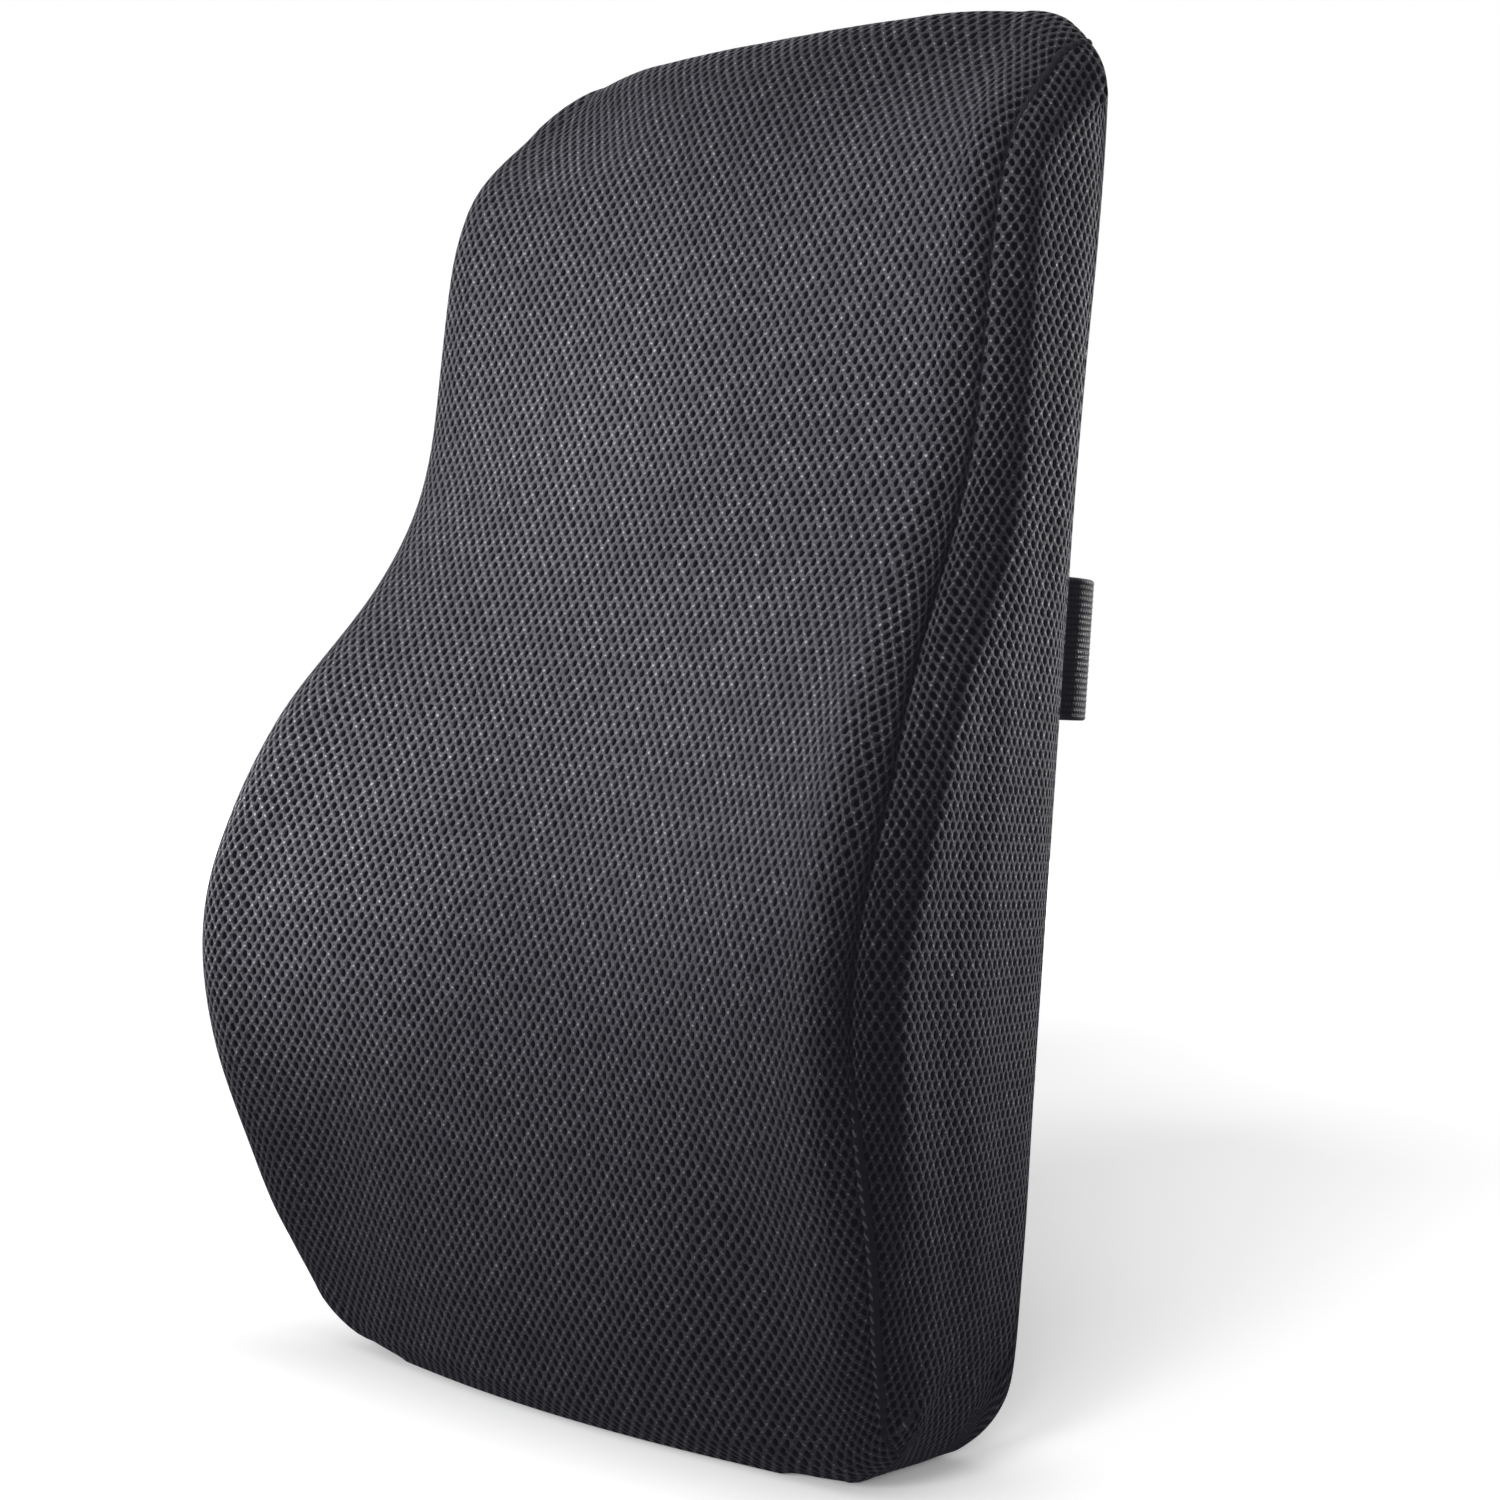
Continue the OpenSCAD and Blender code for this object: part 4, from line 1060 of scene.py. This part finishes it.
def stitches(name, lines, pitch, length, radius, lean=0.0):
    """Thread stitches along lines of (points, outward directions): short rounded bars, half sunk."""
    sides = 6
    angles = np.linspace(0, 2 * np.pi, sides, endpoint=False)
    rings, uvs = [], []
    for points, outs in lines:
        run = lengths(points, 0)
        for middle in np.arange(pitch / 2, run[-1] - pitch / 2, pitch):
            at = middle + np.array([-0.5, 0.5]) * length
            ends = np.stack([np.interp(at, run, points[:, k]) for k in range(3)], 1)
            out = unit(np.array([np.interp(middle, run, outs[:, k]) for k in range(3)]))
            along = unit(ends[1] - ends[0])
            along = unit(along + np.cross(out, along) * lean)
            side = np.cross(out, along)
            for place, share in STITCH_RINGS:
                arch = radius * 0.5 * (1 - (2 * place) ** 2)
                around = np.cos(angles)[:, None] * side + np.sin(angles)[:, None] * out
                centre = ends.mean(0) + along * place * length + out * arch
                rings.append(centre + radius * share * around)
                uvs.append(np.stack([angles * radius, 0 * angles + place * length], 1))
    one = np.concatenate([grid_faces(len(STITCH_RINGS), sides, closed=True), STITCH_ENDS])
    first = np.arange(0, len(rings) * sides, len(STITCH_RINGS) * sides)
    quads = (first[:, None, None] + one).reshape(-1, 4)
    thing = make_mesh(name, np.concatenate(rings), quads, np.concatenate(uvs))
    finish_piece(thing, THREAD)


def seam_line(side, v, t, place, off_side, lift):
    """A line on the cover beside a side seam, off_side millimetres towards the front panel."""
    angle = seam_angle(v, t) - off_side / SIDE_R
    plain = skin(side, side * angle, v, t)
    off = SWELL_START + recess_at(abs(off_side), v, plain[:, 2], t, side, angle) - lift
    surface = skin(side, side * angle, v, t, off)
    outs = skin(side, side * angle, v, t, off - 1) - surface
    return rested(surface + strip_swell(side, side * angle, place)), outs


def build_seams():
    """The raised seam between the front and side panels, with its stitches."""
    v, t, place = loop_path((0, 0.05, 0), (0, 0, 8), (1, 0, 260), (1, 0.9, 16))
    low = smooth(*CORD_FOOT_RISE, level(v)) * (1 - smooth(*CORD_FOOT_FALL, level(v)))
    high = smooth(*CORD_TOP_RISE, level(v))
    cord_lift = CORD_FOOT * low - CORD_SUNK + CORD_TOP * high
    stitch_lift = STITCH_FOOT * low - CORD_SUNK
    for side, word in SIDES:
        cord = tube(f"seam_{word}", *seam_line(side, v, t, place, 0.0, cord_lift))
        finish_piece(cord, TAPE)
        line = seam_line(side, v, t, place, STITCH_ASIDE, stitch_lift)
        stitches(f"seam_stitches_{word}", [line], **SEAM_STITCH)


def tube(name, centre, outs, wide=1.4, tall=1.0, sides=8):
    """A soft cord along a line, wide along the surface and tall away from it."""
    out = unit(outs)
    side = np.cross(out, unit(np.gradient(centre, axis=0)))
    angles = np.linspace(0, 2 * np.pi, sides, endpoint=False)
    run = lengths(centre, 0)[:, None]
    wave = (1 + 0.16 * np.sin(run * 2 * np.pi / STITCH_PITCH))[..., None]
    round_it = wide * np.cos(angles)[:, None] * side[:, None] + tall * np.sin(angles)[:, None] * out[:, None]
    points = centre[:, None] + wave * round_it
    uv = np.stack(np.broadcast_arrays(angles[None] * wide, run), -1)
    quads = grid_faces(len(centre), sides, closed=True)
    return make_mesh(name, points.reshape(-1, 3), quads, uv.reshape(-1, 2))


def straight(x0, z0, x1, z1, y, steps=12):
    """A straight stitch line on the back, at distance y behind the back plane."""
    share = np.linspace(0, 1, steps)[:, None]
    points = np.array([x0, BACK_Y + y, z0]) * (1 - share) + np.array([x1, BACK_Y + y, z1]) * share
    return points, np.tile([0.0, 1.0, 0.0], (steps, 1))


def build_back_stitches():
    """Box and cross stitches on the sewn strap ends, and topstitching beside the zip."""
    y = SEWN_Y + STRAP_T / 2 + 0.05
    lines = []
    for sign in (-1, 1):
        x0, x1 = sign * (BEND_X - SEWN_L + 2.5), sign * (BEND_X - 3)
        z0, z1 = STRAP_Z - STRAP_W / 2 + 3, STRAP_Z + STRAP_W / 2 - 3
        corners = [(x0, z0), (x1, z0), (x1, z1), (x0, z1), (x0, z0)]
        lines += [straight(*corners[k], *corners[k + 1], y) for k in range(4)]
        lines += [straight(x0, z0, x1, z1, y), straight(x0, z1, x1, z0, y)]
    stitches("strap_box_stitches", lines, **BOX_STITCH)
    reach, beside = BACK_HALF_W - 12, ZIP_GAP / 2 + 3.2
    rows = [straight(-reach, z, reach, z, 0.12, 40) for z in (ZIP_Z - beside, ZIP_Z + beside)]
    stitches("zip_topstitches", rows, **ZIP_STITCH)


# ---- the zip's tapes and the hard parts
# how far a tape's ends tuck in, its outer edge goes under the hem and the two tapes close past the teeth
TAPE_TUCK, TAPE_UNDER, TAPE_CLOSE = 3.0, 1.5, 1.62
DRESSED = [
    (PLASTIC, 0.6, ["buckle_socket", "buckle_plug"]),
    (PLASTIC, 0.4, ["buckle_prong_upper", "buckle_prong_lower", "strap_adjuster"]),
    (COIL, 0.18, ["zip_teeth_upper", "zip_teeth_lower"]),
    (METAL, 0.25, ["zip_slider", "zip_pull", "zip_stop_open"]),
    (METAL, 0.25, ["zip_stop_closed_upper", "zip_stop_closed_lower"]),
]


def build_tapes():
    for upward, word in ((1, "upper"), (-1, "lower")):
        low, high = box_mm(f"zip_tape_{word}")
        x, up = np.linspace(low[0], high[0], 120)[:, None], np.linspace(0, 1, 8)[None]
        z = low[2] + (high[2] - low[2]) * up
        wave = 0.12 * np.sin(x / 17.0) * np.sin(np.pi * up) - TAPE_TUCK * smooth(98, 117, np.abs(x))
        outward = up[:, ::upward]
        closing = TAPE_CLOSE * (smooth(96, 101, -x) + smooth(100.5, 103, x))
        height = z + upward * (TAPE_UNDER * outward**3 - closing * (1 - outward))
        outer, inner = [np.stack(np.broadcast_arrays(x, y + wave, height), -1) for y in (high[1], low[1])]
        uv = np.stack(np.broadcast_arrays(x, z), -1)
        edges = [(np.stack([inner[:, k], outer[:, k]], 1), np.stack([uv[:, k]] * 2, 1)) for k in (0, -1)]
        tape = make_from_grids(f"zip_tape_{word}_weave", [(outer, uv), (inner, uv)] + edges, angle=40)
        finish_piece(tape, TAPE, f"zip_tape_{word}")


def dress(node, material, bevel):
    """A CAD node kept as it is, with softened edges and a full material."""
    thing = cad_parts[node]
    if "custom_normal" in thing.data.attributes:
        thing.data.attributes.remove(thing.data.attributes["custom_normal"])
    weld = thing.modifiers.new("weld", "WELD")
    weld.merge_threshold = 0.00001
    edge = thing.modifiers.new("soft_edges", "BEVEL")
    edge.width = bevel * MM
    edge.segments = 3
    edge.limit_method = "ANGLE"
    edge.angle_limit = radians(40)
    edge.harden_normals = True
    thing.data.shade_smooth()
    for place in thing.material_slots:
        place.link = "OBJECT"
        place.material = material
    if not thing.material_slots:
        thing.data.materials.append(material)


def build_hard_parts():
    for material, bevel, nodes in DRESSED:
        for node in nodes:
            dress(node, material, bevel)


# ---- stage, light and camera
CAMERA_TARGET = Vector((0.0, 0.0306, 0.2153))
CAMERA_DISTANCE, CAMERA_AZIMUTH, CAMERA_ELEVATION, CAMERA_ROLL = 0.9967, 45.785, -0.768, 3.9
CAMERA_VIEW_ANGLE = 28.07
VEIL, VEIL_BLUE = 0.006, 0.0022
SKY_LOW, SKY_HIGH = 0.02, 0.10
FLOOR_SIZE, FLOOR_DROP = 9000, 0.0004
FLOOR_START, FLOOR_GLOW, FLOOR_END = 1.2, 0.44, 7.0
# reach of the painted contact shadow on the floor round the cushion's foot, in metres
CONTACT_SHADOW_REACH = 0.045
# suns that only the floor receives: azimuth, height, power and spread. Low ones cast the long shadow
FLOOR_SUNS = [(38, 8, 5.8, 16), (25, 20, 2.0, 12), (20, 45, 0.65, 50)]
SPOT_DISTANCE, SPOT_SIZE, ACCENT_SIZE = 1.8, 0.15, 0.03
# name, azimuth, height, where it aims across and up, radius of the lit patch, power and softness
SPOTS = [
    ("key", -18, 18, -0.04, 0.28, 0.20, 154, SPOT_SIZE),
    ("waist", -4, 26, 0.07, 0.205, 0.09, 34, ACCENT_SIZE),
    ("left_accent", -48, 6, -0.115, 0.165, 0.08, 125, ACCENT_SIZE),
    ("left_rim", -40, 10, -0.085, 0.36, 0.09, 44, ACCENT_SIZE),
    ("rear_edge", 172, 5, 0.0, 0.30, 0.25, 135, SPOT_SIZE),
    ("seam_glow", 10, 24, 0.115, 0.375, 0.09, 40, ACCENT_SIZE),
]
# name, azimuth, height, distance, size and power
PANELS = [
    ("back_high", 180, 50, 1.2, 0.7, 3.4),
    ("left_fill", -60, 30, 1.2, 0.7, 3.0),
    ("back_fill", 222, 30, 1.3, 0.8, 7.0),
]


def direction_to(azimuth, elevation):
    """Unit vector from the object towards a place at that azimuth and elevation."""
    a, e = radians(azimuth), radians(elevation)
    return Vector((math.sin(a) * math.cos(e), -math.cos(a) * math.cos(e), math.sin(e)))


def build_camera():
    data = bpy.data.cameras.new("camera")
    data.sensor_width = 36
    data.lens = data.sensor_width / 2 / math.tan(radians(CAMERA_VIEW_ANGLE / 2))
    camera = bpy.data.objects.new("camera", data)
    back = direction_to(CAMERA_AZIMUTH, CAMERA_ELEVATION)
    turn = (-back).to_track_quat("-Z", "Y").to_matrix().to_4x4()
    roll = Matrix.Rotation(radians(CAMERA_ROLL), 4, "Z")
    camera.matrix_world = Matrix.Translation(CAMERA_TARGET + back * CAMERA_DISTANCE) @ turn @ roll
    SCENE.collection.objects.link(camera)
    SCENE.camera = camera


def add_light(name, kind, azimuth, elevation, distance, aim, **values):
    """A light on the stage that shines at the place aim, from that direction and distance."""
    data = bpy.data.lights.new(name, kind)
    for key, value in values.items():
        setattr(data, key, value)
    light = bpy.data.objects.new(name, data)
    way = direction_to(azimuth, elevation)
    light.location = Vector(aim) + way * distance
    light.rotation_mode = "QUATERNION"
    light.rotation_quaternion = (-way).to_track_quat("-Z", "Y")
    SCENE.collection.objects.link(light)
    return light


def build_floor():
    """Pale floor that glows into the white surroundings, and gives little light back to the cushion."""
    n = Shader("pale_floor")
    camera_ray = n.add("LightPath", out="Is Camera Ray")
    away = n.vector("LENGTH", n.add("NewGeometry", out="Position"))
    glow = n.ramp(away, FLOOR_START, FLOOR_END, FLOOR_GLOW, 1.02)
    # painted contact shadow: the floor's glow, with its faint grain, is darkened by ambient occlusion beside
    # the cushion
    painted_contact_shadow = n.add("AmbientOcclusion", out="AO", samples=8).given(Distance=CONTACT_SHADOW_REACH)
    grain = n.ramp(n.noise(n.place(), 0.02, 2.0), 0.0, 1.0, 0.985, 1.0) * painted_contact_shadow
    material = n.finish(
        Base_Color=n.mix(camera_ray, colour(0.16, 0.16, 0.17), colour(0.9, 0.9, 0.9)),
        Roughness=0.9,
        Specular_IOR_Level=0.0,
        Emission_Color=colour(1.0, 1.0, 1.0),
        Emission_Strength=glow * grain * camera_ray,
    )
    corners = [(-1, -1, 0), (1, -1, 0), (1, 1, 0), (-1, 1, 0)]
    floor = make_mesh("floor", np.array(corners) * FLOOR_SIZE, [(0, 1, 2, 3)])
    floor.location.z = -FLOOR_DROP
    floor.data.materials.append(material)
    receivers = bpy.data.collections.new("lit_by_floor_suns")
    receivers.objects.link(floor)
    for azimuth, height, power, spread in FLOOR_SUNS:
        sun = add_light(
            f"floor_sun_{azimuth}", "SUN", azimuth, height, 0, (0, 0, 0),
            energy=power, angle=radians(spread),
        )
        sun.light_linking.receiver_collection = receivers
    return floor


def build_world():
    """White to the camera; a soft sky, brighter overhead, to everything else."""
    n = Shader("studio", bpy.data.worlds)
    up = n.add("SeparateXYZ", n.add("TexCoord", out="Generated"), out="Z")
    fill = n.add("Background", None, n.add("MapRange", up, -0.1, 1.0, SKY_LOW, SKY_HIGH))
    seen = n.add("Background", (1, 1, 1, 1))
    camera_ray = n.add("LightPath", out="Is Camera Ray")
    n.add("OutputWorld", n.add("MixShader", camera_ray, fill, seen))
    SCENE.world = n.owner


def build_lights(floor):
    """Grazing spots for the front, the waist and the rear edge, with weak area lights to fill."""
    lights = [
        add_light(
            name, "SPOT", azimuth, height, SPOT_DISTANCE, (aim_x, -0.03, aim_z),
            energy=power, shadow_soft_size=size,
            spot_size=2 * math.atan(radius / SPOT_DISTANCE), spot_blend=0.8,
        )
        for name, azimuth, height, aim_x, aim_z, radius, power, size in SPOTS
    ]
    lights += [
        add_light(
            name, "AREA", azimuth, height, distance, (0, 0, 0.22), shape="DISK", size=size, energy=power
        )
        for name, azimuth, height, distance, size, power in PANELS
    ]
    not_floor = bpy.data.collections.new("not_the_floor")
    not_floor.objects.link(floor)
    not_floor.collection_objects[0].light_linking.link_state = "EXCLUDE"
    for light in lights:
        light.light_linking.receiver_collection = not_floor


view = SCENE.view_settings
view.view_transform = "Standard"
view.look = "None"
# the pale surroundings veil the darkest tones a little
view.use_curve_mapping = True
view.curve_mapping.curves[3].points[0].location = (0.0, VEIL)
view.curve_mapping.curves[2].points[0].location = (0.0, VEIL_BLUE)
view.curve_mapping.update()

build_cover()
inner_body("liner_sleeve", LINER_OFF, LINER, "foam_liner")
inner_body("foam_block", FOAM_OFF, FOAM, "foam_core")
build_straps()
build_seams()
build_back_stitches()
build_tapes()
build_hard_parts()
build_camera()
build_lights(build_floor())
build_world()
